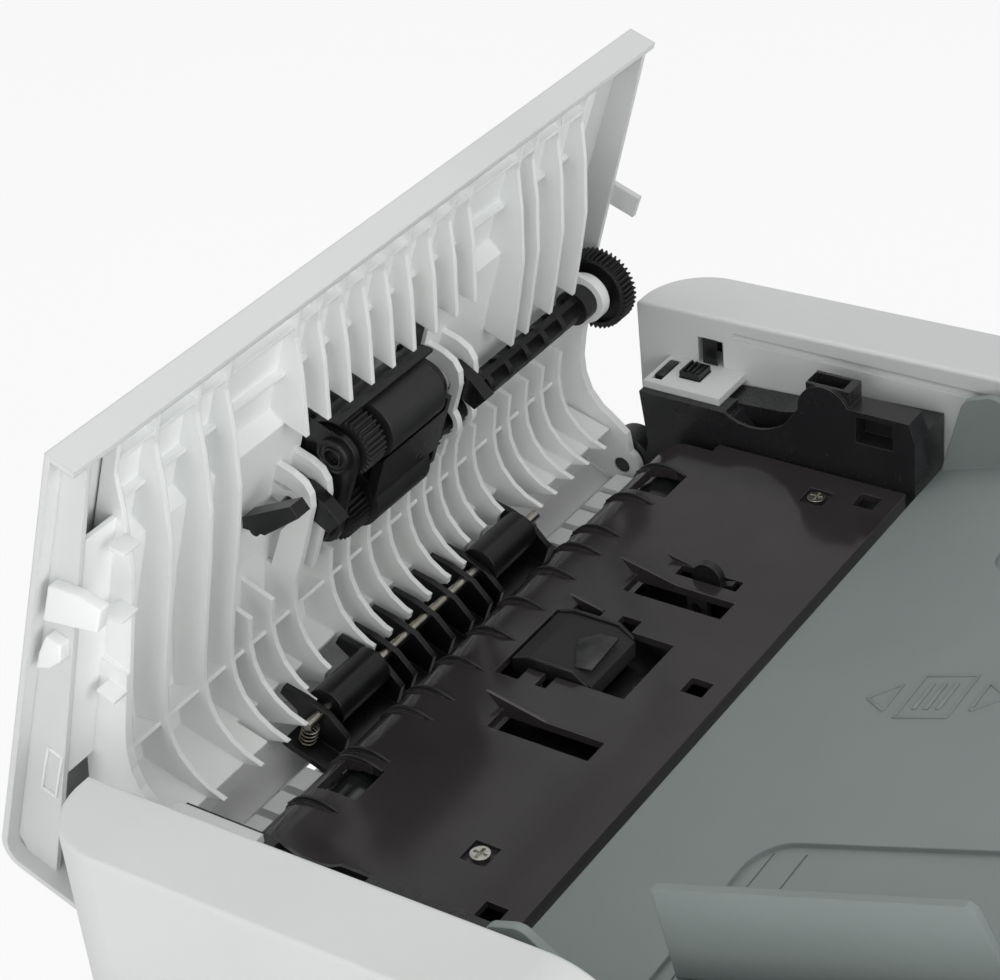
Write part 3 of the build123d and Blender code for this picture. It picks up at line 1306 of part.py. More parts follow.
# drive shaft with its cross section, discs, small gear and collar
shaft_end = drive_gear_front + drive_gear_width
core_end = module_rear + module_boss + seam
with BuildPart() as drive_shaft:
    disc(cover_plane(core_end), shaft_u, shaft_w, shaft_core, core_end - module_front)
    cover_box(shaft_u - shaft_radius + seam / 4, shaft_u + shaft_radius - seam / 4, shaft_w - shaft_web / 2,
              shaft_w + shaft_web / 2, core_end, collar_front)
    cover_box(shaft_u - shaft_web / 2, shaft_u + shaft_web / 2, shaft_w - shaft_radius + seam / 4,
              shaft_w + shaft_radius - seam / 4, core_end, collar_front)
    for index in range(shaft_disc_count):
        disc_y = core_end + (index + 1) * (collar_front - core_end) / (shaft_disc_count + 1)
        disc(cover_plane(disc_y), shaft_u, shaft_w, shaft_radius, shaft_disc)
    disc(cover_plane(core_end + shaft_disc), shaft_u, shaft_w, shaft_radius, shaft_disc)
    disc(cover_plane(hub_front - running_fit), shaft_u, shaft_w, collar_radius, hub_front - running_fit - collar_front)
    disc(cover_plane(shaft_end), shaft_u, shaft_w, shaft_radius, shaft_end - hub_front + seam)
    slab(cover_plane(small_gear_front + small_gear_width), gear_outline(small_gear_teeth, (shaft_u, shaft_w)),
         small_gear_width)
save(drive_shaft, "drive_shaft")

with BuildPart() as drive_gear:
    slab(cover_plane(shaft_end), gear_outline(drive_gear_teeth, (shaft_u, shaft_w)), drive_gear_width)
    disc(cover_plane(shaft_end + seam), shaft_u, shaft_w, shaft_radius, drive_gear_width + 2 * seam, Mode.SUBTRACT)
    rim_radius = gear_module * drive_gear_teeth / 2 - 3 * gear_module
    for y_end, depth in ((drive_gear_front, -1), (shaft_end, 1)):
        recess = (drive_gear_width - drive_gear_web) / 2
        with BuildSketch(cover_plane(max(y_end, y_end - depth * recess))):
            with Locations((shaft_u, shaft_w)):
                Circle(rim_radius)
                Circle(shaft_radius + 2.0, mode=Mode.SUBTRACT)
        extrude(amount=recess, mode=Mode.SUBTRACT)
save(drive_gear, "drive_gear")

with BuildPart() as feed_roller:
    disc(cover_plane(roller_rear), shaft_u, shaft_w, feed_roller_radius, roller_rear - roller_front)
    disc(cover_plane(roller_rear + seam), shaft_u, shaft_w, shaft_core, roller_rear - roller_front + 2 * seam,
         Mode.SUBTRACT)
save(feed_roller, "feed_roller")

pick_u = shaft_u + roller_pitch
with BuildPart() as pick_roller:
    disc(cover_plane(roller_rear), pick_u, shaft_w, pick_roller_radius, roller_rear - roller_front)
    disc(cover_plane(module_rear - seam / 2), pick_u, shaft_w, pick_pin_radius, module_rear - module_front - seam)
    slab(cover_plane(small_gear_front + small_gear_width), gear_outline(small_gear_teeth, (pick_u, shaft_w)),
         small_gear_width)
save(pick_roller, "pick_roller")

module_mid = (shaft_u + pick_u) / 2
module_width = module_rear - module_front
with BuildPart() as pick_housing:
    with BuildSketch(cover_plane(module_rear)):
        with Locations((module_mid, shaft_w)):
            SlotOverall(roller_pitch + 2 * module_radius, 2 * module_radius)
            SlotOverall(roller_pitch + 2 * module_radius - 2 * module_shell,
                        2 * module_radius - 2 * module_shell, mode=Mode.SUBTRACT)
    extrude(amount=module_width)
    cover_box(shaft_u - 2 * module_radius, pick_u + 2 * module_radius, shaft_w - 2 * module_radius, shaft_w + seam,
              module_front - seam, module_rear + seam, Mode.SUBTRACT)
    for plate_end in (module_rear, module_front + module_wall):
        with BuildSketch(cover_plane(plate_end)):
            with Locations((module_mid, shaft_w)):
                SlotOverall(roller_pitch + 2 * module_plate_radius, 2 * module_plate_radius)
        extrude(amount=module_wall)
        cover_box(shaft_u - module_plate_radius, pick_u + module_plate_radius, shaft_w,
                  shaft_w + module_radius - module_shell / 2, plate_end - module_wall, plate_end)
    cover_box(shaft_u, pick_u, shaft_w + bridge_low, shaft_w + bridge_low + bridge_thickness,
              small_gear_front + small_gear_width + seam, module_rear)
    cover_box(module_mid - 2 * module_shell, module_mid + 2 * module_shell, shaft_w + bridge_low + module_wall,
              shaft_w + module_radius - module_shell, module_rear - module_wall, module_rear)
    disc(cover_plane(module_rear + module_boss), shaft_u, shaft_w, module_boss_radius, module_boss)
    disc(cover_plane(module_rear - module_wall), shaft_u, shaft_w, feed_roller_radius + roller_gap,
         module_rear - module_wall - module_front - module_wall, Mode.SUBTRACT)
    disc(cover_plane(module_rear - module_wall), pick_u, shaft_w, pick_roller_radius + roller_gap,
         module_rear - module_wall - module_front - module_wall, Mode.SUBTRACT)
    cover_box(shaft_u - module_wall / 2, shaft_u + module_wall / 2, shaft_w - module_boss_radius - seam,
              shaft_w - shaft_core - seam, module_rear + module_wall, module_rear + module_boss + seam, Mode.SUBTRACT)
    for u_at, radius in ((shaft_u, shaft_core + running_fit), (pick_u, pick_pin_radius + running_fit)):
        disc(cover_plane(core_end + seam), u_at, shaft_w, radius, core_end - module_front + 2 * seam, Mode.SUBTRACT)
    disc(cover_plane(core_end), stop_u, stop_w, 2 * stop_rod_radius, core_end - module_front + seam, Mode.SUBTRACT)
save(pick_housing, "pick_housing")

claw_outline = [
    (stop_u - 3.4, stop_w + 2.0), (stop_u + 3.4, stop_w + 2.0), (stop_u + 4.8, stop_w - 2.0),
    (stop_u + 3.6, stop_w - 8.2), (stop_u + 0.6, stop_w - 14.2), (stop_u - 4.8, stop_w - 11.6),
    (stop_u - 4.0, stop_w - 7.0), (stop_u - 3.6, stop_w - 3.0),
]
arm_outline = [
    (stop_u - 1.6, stop_w + 3.4), (stop_u + 1.8, stop_w + 4.2), (stop_u + 15.2, stop_w - 8.4),
    (stop_u + 13.2, stop_w - 11.4), (stop_u + 0.8, stop_w - 3.2),
]
with BuildPart() as stop_lever:
    disc(cover_plane(claw_rear + claw_width / 2 + hook_thickness + 2 * hook_gap), stop_u, stop_w, stop_rod_radius,
         claw_rear + claw_width / 2 + hook_thickness + 2 * hook_gap - stop_arm_y + stop_arm_width / 2)
    sleeve_end = claw_rear - claw_width / 2 - hook_thickness - 2 * hook_gap
    disc(cover_plane(sleeve_end), stop_u, stop_w, stop_sleeve_radius, sleeve_end - stop_sleeve_front)
    for claw_y in (claw_front, claw_rear):
        slab(cover_plane(claw_y + claw_width / 2), claw_outline, claw_width)
        disc(cover_plane(claw_y + claw_width / 2), stop_u, stop_w, claw_ring, claw_width)
    slab(cover_plane(stop_arm_y + stop_arm_width / 2), arm_outline, stop_arm_width)
save(stop_lever, "stop_lever")

# idler rollers, their holder and the two springs behind the shaft
fin_outline = [
    (holder_wall + holder_back, -6.6), (9.4, -6.6), (13.0, 0.4), (13.4, 8.4), (12.4, 15.4), (9.4, 15.8),
    (7.4, 9.6), (holder_wall + holder_back, 8.0),
]
with BuildPart() as idler_holder:
    cover_box(holder_back, holder_wall + holder_back, -6.6, 8.0, -holder_half, holder_half)
    for share in fin_share:
        fin_y = share * idler_half_length
        slab(cover_plane(fin_y + fin_thickness / 2), fin_outline, fin_thickness)
    disc(cover_plane(holder_half + seam), idler_u, idler_w, idler_shaft_radius + running_fit,
         2 * holder_half + 2 * seam, Mode.SUBTRACT)
save(idler_holder, "idler_holder")

with BuildPart() as idler_shaft:
    disc(cover_plane(idler_half_length), idler_u, idler_w, idler_shaft_radius, 2 * idler_half_length)
save(idler_shaft, "idler_shaft")

with BuildPart() as idler_rollers:
    for sign in (-1, 1):
        middle = sign * idler_offset + idler_roller_width / 2 - seam
        with BuildSketch(cover_plane(middle)):
            with Locations((idler_u, idler_w)):
                Circle(idler_radius)
                Circle(idler_shaft_radius, mode=Mode.SUBTRACT)
        extrude(amount=idler_roller_width - 2 * seam)
save(idler_rollers, "idler_rollers")

def helix_point(turn):
    return (spring_radius * math.cos(turn), spring_radius * math.sin(turn), spring_pitch * turn / (2 * math.pi))


def helix_tangent(turn):
    rise = spring_pitch / (2 * math.pi)
    return Vector(-spring_radius * math.sin(turn), spring_radius * math.cos(turn), rise).normalized()


spring_low = holder_wall + holder_back + spring_wire_radius
spring_high = idler_u - idler_shaft_radius - spring_wire_radius - spring_end_gap
spring_pitch = (spring_high - spring_low) / spring_turns
turn_gap = min(
    (Vector(*helix_point(step / 50)) - Vector(*helix_point(other / 50))).length
    for step in range(0, 315, 7) for other in range(step + 220, step + 420)
)
print("least gap between a spring's turns", round(turn_gap - 2 * spring_wire_radius, 2))
with BuildPart() as idler_springs:
    for sign in (-1, 1):
        turned = cover_plane(sign * spring_offset)
        foot = Vector(turned.origin) + turned.x_dir * spring_low + turned.y_dir * idler_w
        coil = Plane(origin=foot, x_dir=turned.y_dir, z_dir=turned.x_dir)
        with BuildLine() as path:
            for quarter in range(4 * spring_turns):
                start, end = quarter * math.pi / 2, (quarter + 1) * math.pi / 2
                first = coil.from_local_coords(Vector(*helix_point(start)))
                last = coil.from_local_coords(Vector(*helix_point(end)))
                out = coil.from_local_coords(helix_tangent(start)) - coil.origin
                into = coil.from_local_coords(helix_tangent(end)) - coil.origin
                chord = last - first
                lean = chord.dot(out + into)
                spread = 2 * (1 - out.dot(into))
                reach = (math.sqrt(lean ** 2 + spread * chord.dot(chord)) - lean) / spread
                knee = first + out * reach
                elbow = last - into * reach
                middle = (knee + elbow) * 0.5
                TangentArc(first, middle, tangent=out)
                TangentArc(middle, last, tangent=(elbow - knee).normalized())
        with BuildSketch(Plane(origin=path.line @ 0, z_dir=path.line % 0)):
            Circle(spring_wire_radius)
        sweep(path=path.line)
save(idler_springs, "idler_springs")

# input tray with its recess, its side fins and the two brackets under it
fin_rise = tray_left + 15.0
fin_fall = tray_left + 25.0
with BuildPart() as input_tray:
    with BuildSketch(tray_plane()):
        with Locations(((tray_left + tray_length) / 2 + tray_left / 2, 0)):
            Rectangle(tray_length, 2 * input_half_depth)
    extrude(amount=-input_thickness)
    recess_middle = (tray_recess_inner + tray_recess_outer) / 2
    recess_width = tray_recess_outer - tray_recess_inner
    for sign in (-1, 1):
        with BuildSketch(tray_plane()):
            with Locations((tray_recess_start + tray_length / 2, sign * recess_middle)):
                RectangleRounded(tray_length, recess_width, tray_recess_round)
        extrude(amount=-tray_recess, mode=Mode.SUBTRACT)
        with BuildSketch(tray_plane().offset(-tray_recess)):
            for groove_start in tray_groove_starts:
                with Locations((groove_start + tray_groove_width / 2, sign * recess_middle)):
                    Rectangle(tray_groove_width, recess_width - 2 * wall)
        extrude(amount=-tray_groove_depth, mode=Mode.SUBTRACT)
    for sign in (-1, 1):
        inner = input_half_depth - tray_fin_thickness
        start = max(sign * input_half_depth, sign * inner)
        with BuildSketch(guide_plane(start)) as fin_face:
            with BuildLine():
                Polyline(
                    (tray_left, -seam), (fin_rise, tray_fin_height), (fin_fall, tray_fin_height),
                    (tray_left + tray_fin_length, tray_lip), (tray_length, tray_lip), (tray_length, -seam), close=True,
                )
            make_face()
            for corner_u in (fin_rise, fin_fall):
                fillet(fin_face.vertices().sort_by_distance((corner_u, tray_fin_height, 0))[0], tray_fin_round)
        extrude(amount=tray_fin_thickness)
        bracket = max(sign * (bracket_y - bracket_width / 2), sign * (bracket_y + bracket_width / 2))
        slab(feed_plane(bracket),
             [(bracket_left, rear_deck_top), (bracket_right, rear_deck_top),
              (bracket_right, tray_drop + tray_slope * bracket_right - input_thickness),
              (bracket_left, tray_drop + tray_slope * bracket_left - input_thickness)], bracket_width)
save(input_tray, "input_tray")


# the two sliding paper guides
for name, sign in (("front_guide", -1), ("rear_guide", 1)):
    near = sign * (guide_offset - guide_thickness)
    far = sign * guide_offset
    foot_far = sign * (guide_offset - guide_foot)
    foot_low = guide_clearance - tray_recess
    with BuildPart() as paper_guide:
        slab(guide_plane(max(near, far)),
             [(guide_start, foot_low), (guide_start + guide_lean, guide_height),
              (guide_start + guide_length - guide_foot_thickness, guide_height),
              (guide_start + guide_length, guide_height - guide_foot_thickness),
              (guide_start + guide_length + guide_lean, foot_low)], guide_thickness)
        slab(guide_plane(max(near, foot_far)),
             [(guide_start, foot_low), (guide_start, foot_low + guide_foot_thickness),
              (guide_start + guide_length, foot_low + guide_foot_thickness),
              (guide_start + guide_length, foot_low)], guide_foot - guide_thickness)
    save(paper_guide, name)
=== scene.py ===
# Open feeder of a colour laser multifunction printer: finishes, small details, light and camera.
import math
import bmesh
import bpy
from mathutils import Matrix, Vector


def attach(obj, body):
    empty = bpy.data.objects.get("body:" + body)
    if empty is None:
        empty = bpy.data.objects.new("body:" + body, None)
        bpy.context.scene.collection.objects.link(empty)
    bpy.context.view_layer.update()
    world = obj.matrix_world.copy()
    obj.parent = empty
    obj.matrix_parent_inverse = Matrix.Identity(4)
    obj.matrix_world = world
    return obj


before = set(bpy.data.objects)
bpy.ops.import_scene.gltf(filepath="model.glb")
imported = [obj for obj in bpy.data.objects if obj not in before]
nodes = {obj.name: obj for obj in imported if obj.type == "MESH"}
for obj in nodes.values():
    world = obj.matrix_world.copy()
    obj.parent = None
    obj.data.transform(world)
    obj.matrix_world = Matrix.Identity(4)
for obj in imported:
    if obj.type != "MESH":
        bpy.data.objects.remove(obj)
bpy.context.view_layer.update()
scene = bpy.context.scene
print("frame loaded:", len(nodes), "nodes")


class Wire:
    # a node's output that can be used in sums
    def __init__(self, finish, socket):
        self.finish = finish
        self.socket = socket

    def sums(self, operation, first, second):
        return self.finish.node("ShaderNodeMath", {"operation": operation}, {0: first, 1: second})

    def __add__(self, other):
        return self.sums("ADD", self, other)

    def __radd__(self, other):
        return self.sums("ADD", other, self)

    def __sub__(self, other):
        return self.sums("SUBTRACT", self, other)

    def __rsub__(self, other):
        return self.sums("SUBTRACT", other, self)

    def __mul__(self, other):
        return self.sums("MULTIPLY", self, other)


nodeGrid = {"across": 180, "down": -220, "perRow": 9}


class Finish:
    # a material and its nodes
    def __init__(self, name):
        self.material = bpy.data.materials.new(name)
        self.material.use_nodes = True
        self.tree = self.material.node_tree
        self.tree.nodes.clear()
        self.column = 0

    def node(self, kind, settings=None, inputs=None, out=0):
        made = self.tree.nodes.new(kind)
        self.column += 1
        row, place = divmod(self.column, nodeGrid["perRow"])
        made.location = (nodeGrid["across"] * place, nodeGrid["down"] * row)
        for key, value in (settings or {}).items():
            setattr(made, key, value)
        for key, value in (inputs or {}).items():
            if isinstance(value, Wire):
                self.tree.links.new(value.socket, made.inputs[key])
            else:
                made.inputs[key].default_value = value
        return Wire(self, made.outputs[out]) if made.outputs else None


def tint(text):
    # a written colour, from the sRGB curve to linear
    parts = [int(text[i:i + 2], 16) / 255 for i in (1, 3, 5)]
    linear = [p / 12.92 if p <= 0.04045 else ((p + 0.055) / 1.055) ** 2.4 for p in parts]
    return (*linear, 1.0)


def steps(finish, value, low, high):
    return finish.node("ShaderNodeMapRange", {"clamp": True},
                       {"Value": value, "From Min": low, "From Max": high})


# sockets of the mix node that carry colours
colourSockets = {"first": 6, "second": 7, "result": 2}


def blendColours(finish, factor, first, second):
    return finish.node("ShaderNodeMix", {"data_type": "RGBA"}, {
        "Factor": factor, colourSockets["first"]: first, colourSockets["second"]: second,
    }, colourSockets["result"])


def objectPoint(finish, stretch=(1, 1, 1)):
    point = finish.node("ShaderNodeTexCoord", out="Object")
    return finish.node("ShaderNodeMapping", None, {"Vector": point, "Scale": stretch})


def noise(finish, point, scale, detail=3.0, rough=0.55):
    return finish.node("ShaderNodeTexNoise", None,
                       {"Vector": point, "Scale": scale, "Detail": detail, "Roughness": rough})


# what the finishes share: the spans of noise and of edge wear and painted edge highlight that are stretched
# from none to full
middle, mottleSpan, patchSpan, wearAndHighlightSpan = 0.5, (0.3, 0.7), (0.35, 0.65), (0.06, 0.4)
bevelSamples = 6


def roundedNormal(finish, radius):
    return finish.node("ShaderNodeBevel", {"samples": bevelSamples}, {"Radius": radius})


def edgeShare(finish, rounded):
    # where a rounded normal leaves the true one, the surface is an edge
    true = finish.node("ShaderNodeNewGeometry", out="Normal")
    along = finish.node("ShaderNodeVectorMath", {"operation": "DOT_PRODUCT"}, {0: rounded, 1: true}, "Value")
    return 1 - along


mouldSpec = {"speckSize": 6, "speckSwing": 0.5, "grainHeight": 0.7, "speckHeight": 0.6}


def mouldedPlastic(name, spec):
    # moulded plastic: eroded grain, slow mottling from the flow of the melt, paler edges that are partly
    # rubbed wear and partly painted highlight
    finish = Finish(name)
    point = objectPoint(finish)
    grain = noise(finish, point, spec["grainScale"], detail=2.0, rough=0.6)
    cloud = noise(finish, point, spec["mottleScale"], detail=4.0)
    speck = noise(finish, point, spec["grainScale"] / mouldSpec["speckSize"], detail=2.0)
    rounded = roundedNormal(finish, spec["edgeRadius"])
    # edge mask for the paler edge tone: partly rubbed wear, partly painted highlight
    edgeWearAndHighlightMask = steps(finish, edgeShare(finish, rounded), *wearAndHighlightSpan)
    shade = blendColours(finish, steps(finish, cloud, *mottleSpan), tint(spec["dark"]), tint(spec["colour"]))
    wornAndHighlitColour = blendColours(finish, edgeWearAndHighlightMask * spec["edgeWearAndHighlight"], shade, tint(spec["edge"]))
    swing = spec["roughSwing"]
    rough = spec["roughness"] + (cloud - middle) * swing + (speck - middle) * mouldSpec["speckSwing"] * swing
    bump = finish.node("ShaderNodeBump", None, {
        "Strength": spec["grainStrength"], "Distance": spec["grainDepth"], "Normal": rounded,
        "Height": grain * mouldSpec["grainHeight"] + speck * mouldSpec["speckHeight"]})
    shader = finish.node("ShaderNodeBsdfPrincipled", None, {
        "Base Color": wornAndHighlitColour, "Roughness": rough, "Normal": bump, "IOR": spec["ior"]})
    finish.node("ShaderNodeOutputMaterial", None, {"Surface": shader})
    return finish.material


def brushedSteel(name, spec):
    # steel with fine lines and slow patches
    finish = Finish(name)
    point = objectPoint(finish, spec["stretch"])
    line = noise(finish, point, spec["lineScale"], rough=0.7)
    patch = steps(finish, noise(finish, objectPoint(finish), spec["patchScale"]), *patchSpan)
    rounded = roundedNormal(finish, spec["edgeRadius"])
    colour = blendColours(finish, patch, tint(spec["colour"]), tint(spec["patch"]))
    bump = finish.node("ShaderNodeBump", None, {
        "Strength": spec["lineStrength"], "Distance": spec["lineDepth"], "Height": line, "Normal": rounded})
    shader = finish.node("ShaderNodeBsdfPrincipled", None, {
        "Base Color": colour, "Metallic": 1.0, "Normal": bump,
        "Roughness": spec["roughness"] + (line - middle) * spec["roughSwing"]})
    finish.node("ShaderNodeOutputMaterial", None, {"Surface": shader})
    return finish.material


def rollerRubber(name, spec):
    # satin rubber, faintly dusty, with a fine ground finish round the roller and paler edges that are partly
    # dust wear and partly painted highlight
    finish = Finish(name)
    ground = noise(finish, objectPoint(finish, spec["groundStretch"]), spec["groundScale"], detail=2.0)
    cloud = noise(finish, objectPoint(finish), spec["mottleScale"], detail=4.0)
    dust = noise(finish, objectPoint(finish), spec["dustScale"], detail=2.0)
    rounded = roundedNormal(finish, spec["edgeRadius"])
    # edge mask that turns edges to the dust tone: partly dust wear, partly painted highlight
    edgeWearAndHighlightMask = steps(finish, edgeShare(finish, rounded), *wearAndHighlightSpan)
    colour = blendColours(finish, steps(finish, cloud, *mottleSpan), tint(spec["dark"]), tint(spec["colour"]))
    dusting = steps(finish, dust, *spec["dustSpan"]) * spec["dustShare"]
    dusty = blendColours(finish, dusting, colour, tint(spec["dust"]))
    wornAndHighlitColour = blendColours(finish, edgeWearAndHighlightMask * spec["edgeWearAndHighlight"], dusty, tint(spec["dust"]))
    bump = finish.node("ShaderNodeBump", None, {
        "Strength": spec["groundStrength"], "Distance": spec["groundDepth"], "Normal": rounded,
        "Height": ground + dust * spec["dustHeight"]})
    shader = finish.node("ShaderNodeBsdfPrincipled", None, {
        "Base Color": wornAndHighlitColour, "Roughness": spec["roughness"] + (cloud - middle) * spec["roughSwing"],
        "Normal": bump})
    finish.node("ShaderNodeOutputMaterial", None, {"Surface": shader})
    return finish.material


def clearPane(name, spec):
    # glass or a dark window, slightly smeared
    finish = Finish(name)
    cloud = noise(finish, objectPoint(finish), spec["mottleScale"], detail=4.0)
    smear = steps(finish, cloud, *mottleSpan)
    colour = blendColours(finish, smear, tint(spec["colour"]), tint(spec["patch"]))
    shader = finish.node("ShaderNodeBsdfPrincipled", None, {
        "Base Color": colour, "Transmission Weight": spec["clear"], "IOR": spec["ior"],
        "Roughness": spec["roughness"] + (cloud - spec["smearMiddle"]) * spec["roughSwing"]})
    finish.node("ShaderNodeOutputMaterial", None, {"Surface": shader})
    return finish.material


# each finish's edge colour and its share give a paler edge tone, partly wear and partly painted highlight
bodySpec = {
    "colour": "#dadcdb", "dark": "#d3d5d4", "edge": "#e4e6e5", "edgeWearAndHighlight": 0.35, "edgeRadius": 0.0006,
    "roughness": 0.46, "roughSwing": 0.12, "mottleScale": 9.0, "grainScale": 2400.0, "grainStrength": 0.22,
    "grainDepth": 0.00008, "ior": 1.48,
}
ribSpec = dict(bodySpec, colour="#f3f4f3", dark="#edefee", edge="#ffffff", edgeWearAndHighlight=0.8, edgeRadius=0.0004,
               roughness=0.40, mottleScale=22.0, grainStrength=0.1)
blackSpec = {
    "colour": "#19191a", "dark": "#131314", "edge": "#5d5d5f", "edgeWearAndHighlight": 0.4, "edgeRadius": 0.0003,
    "roughness": 0.3, "roughSwing": 0.16, "mottleScale": 60.0, "grainScale": 2600.0, "grainStrength": 0.16,
    "grainDepth": 0.00008, "ior": 1.5,
}
gearSpec = dict(blackSpec, colour="#171718", dark="#111112", edge="#4b4b4d", roughness=0.42,
                edgeRadius=0.0002)
deckSpec = dict(blackSpec, colour="#383436", dark="#2f2c2e", edge="#8b888b", edgeWearAndHighlight=0.5, roughness=0.13,
                roughSwing=0.08, mottleScale=26.0, grainStrength=0.05)
frameSpec = dict(blackSpec, colour="#28282a", dark="#202022", edge="#757578", roughness=0.27, roughSwing=0.05,
                 mottleScale=12.0, grainStrength=0.06)
traySpec = dict(bodySpec, colour="#88918f", dark="#818a88", edge="#a1aaa7", edgeWearAndHighlight=0.5, roughness=0.5,
                grainStrength=0.35, mottleScale=14.0)
keySpec = dict(bodySpec, colour="#5d6163", dark="#565a5c", edge="#80858a", grainStrength=0.15)
footSpec = dict(blackSpec, colour="#2c2c2d", dark="#242425", roughness=0.7)
padSpec = dict(bodySpec, colour="#eceeed", dark="#e6e8e7", edge="#f4f5f4", roughness=0.6)
rollerSpec = dict(blackSpec, colour="#232524", dark="#1b1d1c", edge="#3c3f3e", roughness=0.16, roughSwing=0.1,
                  mottleScale=30.0, grainStrength=0.1, edgeRadius=0.0006)
corkSpec = dict(blackSpec, colour="#262627", dark="#1c1c1d", edge="#5a5a5b", roughness=0.75,
                grainStrength=0.5)
steelSpec = {
    "colour": "#c9c5bb", "patch": "#a49d90", "lineScale": 900.0, "patchScale": 220.0, "lineDepth": 0.00003,
    "lineStrength": 0.25, "roughness": 0.28, "roughSwing": 0.25, "edgeRadius": 0.0002,
    "stretch": (1, 0.06, 1),
}
rubberSpec = {
    "colour": "#272728", "dark": "#202021", "dust": "#454544", "dustShare": 0.2, "roughness": 0.5,
    "roughSwing": 0.2, "groundStrength": 0.12, "groundDepth": 0.0001, "groundScale": 420.0,
    "groundStretch": (1, 14, 1), "mottleScale": 140.0, "dustScale": 1800.0, "dustSpan": (0.5, 0.85),
    "dustHeight": 0.4, "edgeRadius": 0.0005, "edgeWearAndHighlight": 0.4,
}
idlerSpec = dict(rubberSpec, roughness=0.34, colour="#161617", dark="#111112", dustShare=0.08)
screwSpec = dict(steelSpec, colour="#d9d8d2", patch="#b4b1a8", roughness=0.22, stretch=(1, 1, 1))
sheetSpec = dict(steelSpec, colour="#b4b7b9", patch="#a2a5a7", roughness=0.4)
glassSpec = {
    "colour": "#dfe7e6", "patch": "#e8efee", "clear": 0.9, "ior": 1.5, "mottleScale": 14.0, "roughness": 0.03,
    "roughSwing": 0.05, "smearMiddle": 0.4,
}
displaySpec = dict(glassSpec, colour="#121517", patch="#191d20", clear=0.0)

finishes = {
    "body_plastic": mouldedPlastic("bodyPlastic", bodySpec),
    "guide_plastic": mouldedPlastic("guidePlastic", ribSpec),
    "black_plastic": mouldedPlastic("blackPlastic", blackSpec),
    "gear_plastic": mouldedPlastic("gearPlastic", gearSpec),
    "deck_plastic": mouldedPlastic("deckPlastic", deckSpec),
    "frame_plastic": mouldedPlastic("framePlastic", frameSpec),
    "tray_plastic": mouldedPlastic("trayPlastic", traySpec),
    "key_plastic": mouldedPlastic("keyPlastic", keySpec),
    "foot_rubber": mouldedPlastic("footRubber", footSpec),
    "pad_foam": mouldedPlastic("padFoam", padSpec),
    "drive_rubber": mouldedPlastic("driveRubber", rollerSpec),
    "cork_pad": mouldedPlastic("corkPad", corkSpec),
    "shaft_steel": brushedSteel("shaftSteel", steelSpec),
    "screw_steel": brushedSteel("screwSteel", screwSpec),
    "inner_steel": brushedSteel("innerSteel", sheetSpec),
    "feed_rubber": rollerRubber("feedRubber", rubberSpec),
    "pick_rubber": rollerRubber("pickRubber", rubberSpec),
    "idler_rubber": rollerRubber("idlerRubber", idlerSpec),
    "scan_glass": clearPane("scanGlass", glassSpec),
    "display_glass": clearPane("displayGlass", displaySpec),
}
nodeFinishes = {
    "body_plastic": ("left_cover", "right_cover", "rear_cover", "rear_door", "bin_cover", "output_stop",
                     "front_door", "paper_tray", "scanner_base", "control_panel", "feeder_housing",
                     "cover_shell"),
    "guide_plastic": ("guide_ribs", "turn_guide"),
    "black_plastic": ("base_pan", "pick_housing", "stop_lever", "idler_holder", "latch_button", "paper_flag",
                      "toner_cartridges", "fuser_unit", "scan_carriage", "power_inlet"),
    "gear_plastic": ("drive_gear", "drive_shaft", "belt_unit"),
    "frame_plastic": ("side_frame_front", "side_frame_rear"),
    "deck_plastic": ("paper_deck",),
    "tray_plastic": ("input_tray", "front_guide", "rear_guide"),
    "key_plastic": ("back_key", "ok_key", "cancel_key", "start_key", "power_button"),
    "foot_rubber": ("feet", "pickup_roller"),
    "pad_foam": ("lid_pad",),
    "drive_rubber": ("drive_roller",),
    "cork_pad": ("separation_pad",),
    "feed_rubber": ("feed_roller",),
    "pick_rubber": ("pick_roller",),
    "idler_rubber": ("idler_rollers",),
    "shaft_steel": ("idler_shaft", "idler_springs"),
    "screw_steel": ("deck_screws",),
    "inner_steel": ("engine_frame",),
    "scan_glass": ("scan_glass",),
    "display_glass": ("display_window",),
}
for slotName, members in nodeFinishes.items():
    for member in members:
        mesh = nodes[member].data
        mesh.materials.clear()
        mesh.materials.append(finishes[slotName])
print("finishes set on", sum(len(m) for m in nodeFinishes.values()), "nodes")

# places in the machine, given in millimetres and returned in metres
unit = 0.001
hingeX, hingeZ, feedX, feedY, feedZ = -193.0, 293.5, -105.0, 20.0, 310.0
openTurn = math.radians(69)
traySlope, trayDrop = math.atan(0.362), 3.6
sharpAngle, weldDistance = 0.7, 0.00001
smallEdge = {"affect": "EDGES", "profile": 0.5, "material": -1, "clamp_overlap": True}


def coverPlace(u, w, y):
    across = u * math.cos(openTurn) - w * math.sin(openTurn)
    up = u * math.sin(openTurn) + w * math.cos(openTurn)
    return Vector((hingeX + across, feedY + y, hingeZ + up)) * unit


def feedPlace(x, z, y):
    return Vector((feedX + x, feedY + y, feedZ + z)) * unit


def deckPlace(x, y, z):
    return feedPlace(x, z, y)


def trayPlace(along, y, lift):
    x = along * math.cos(traySlope) - lift * math.sin(traySlope)
    z = along * math.sin(traySlope) + lift * math.cos(traySlope) - trayDrop
    return feedPlace(x, z, y)


def machinePlace(x, z, y):
    return Vector((x, y, z)) * unit


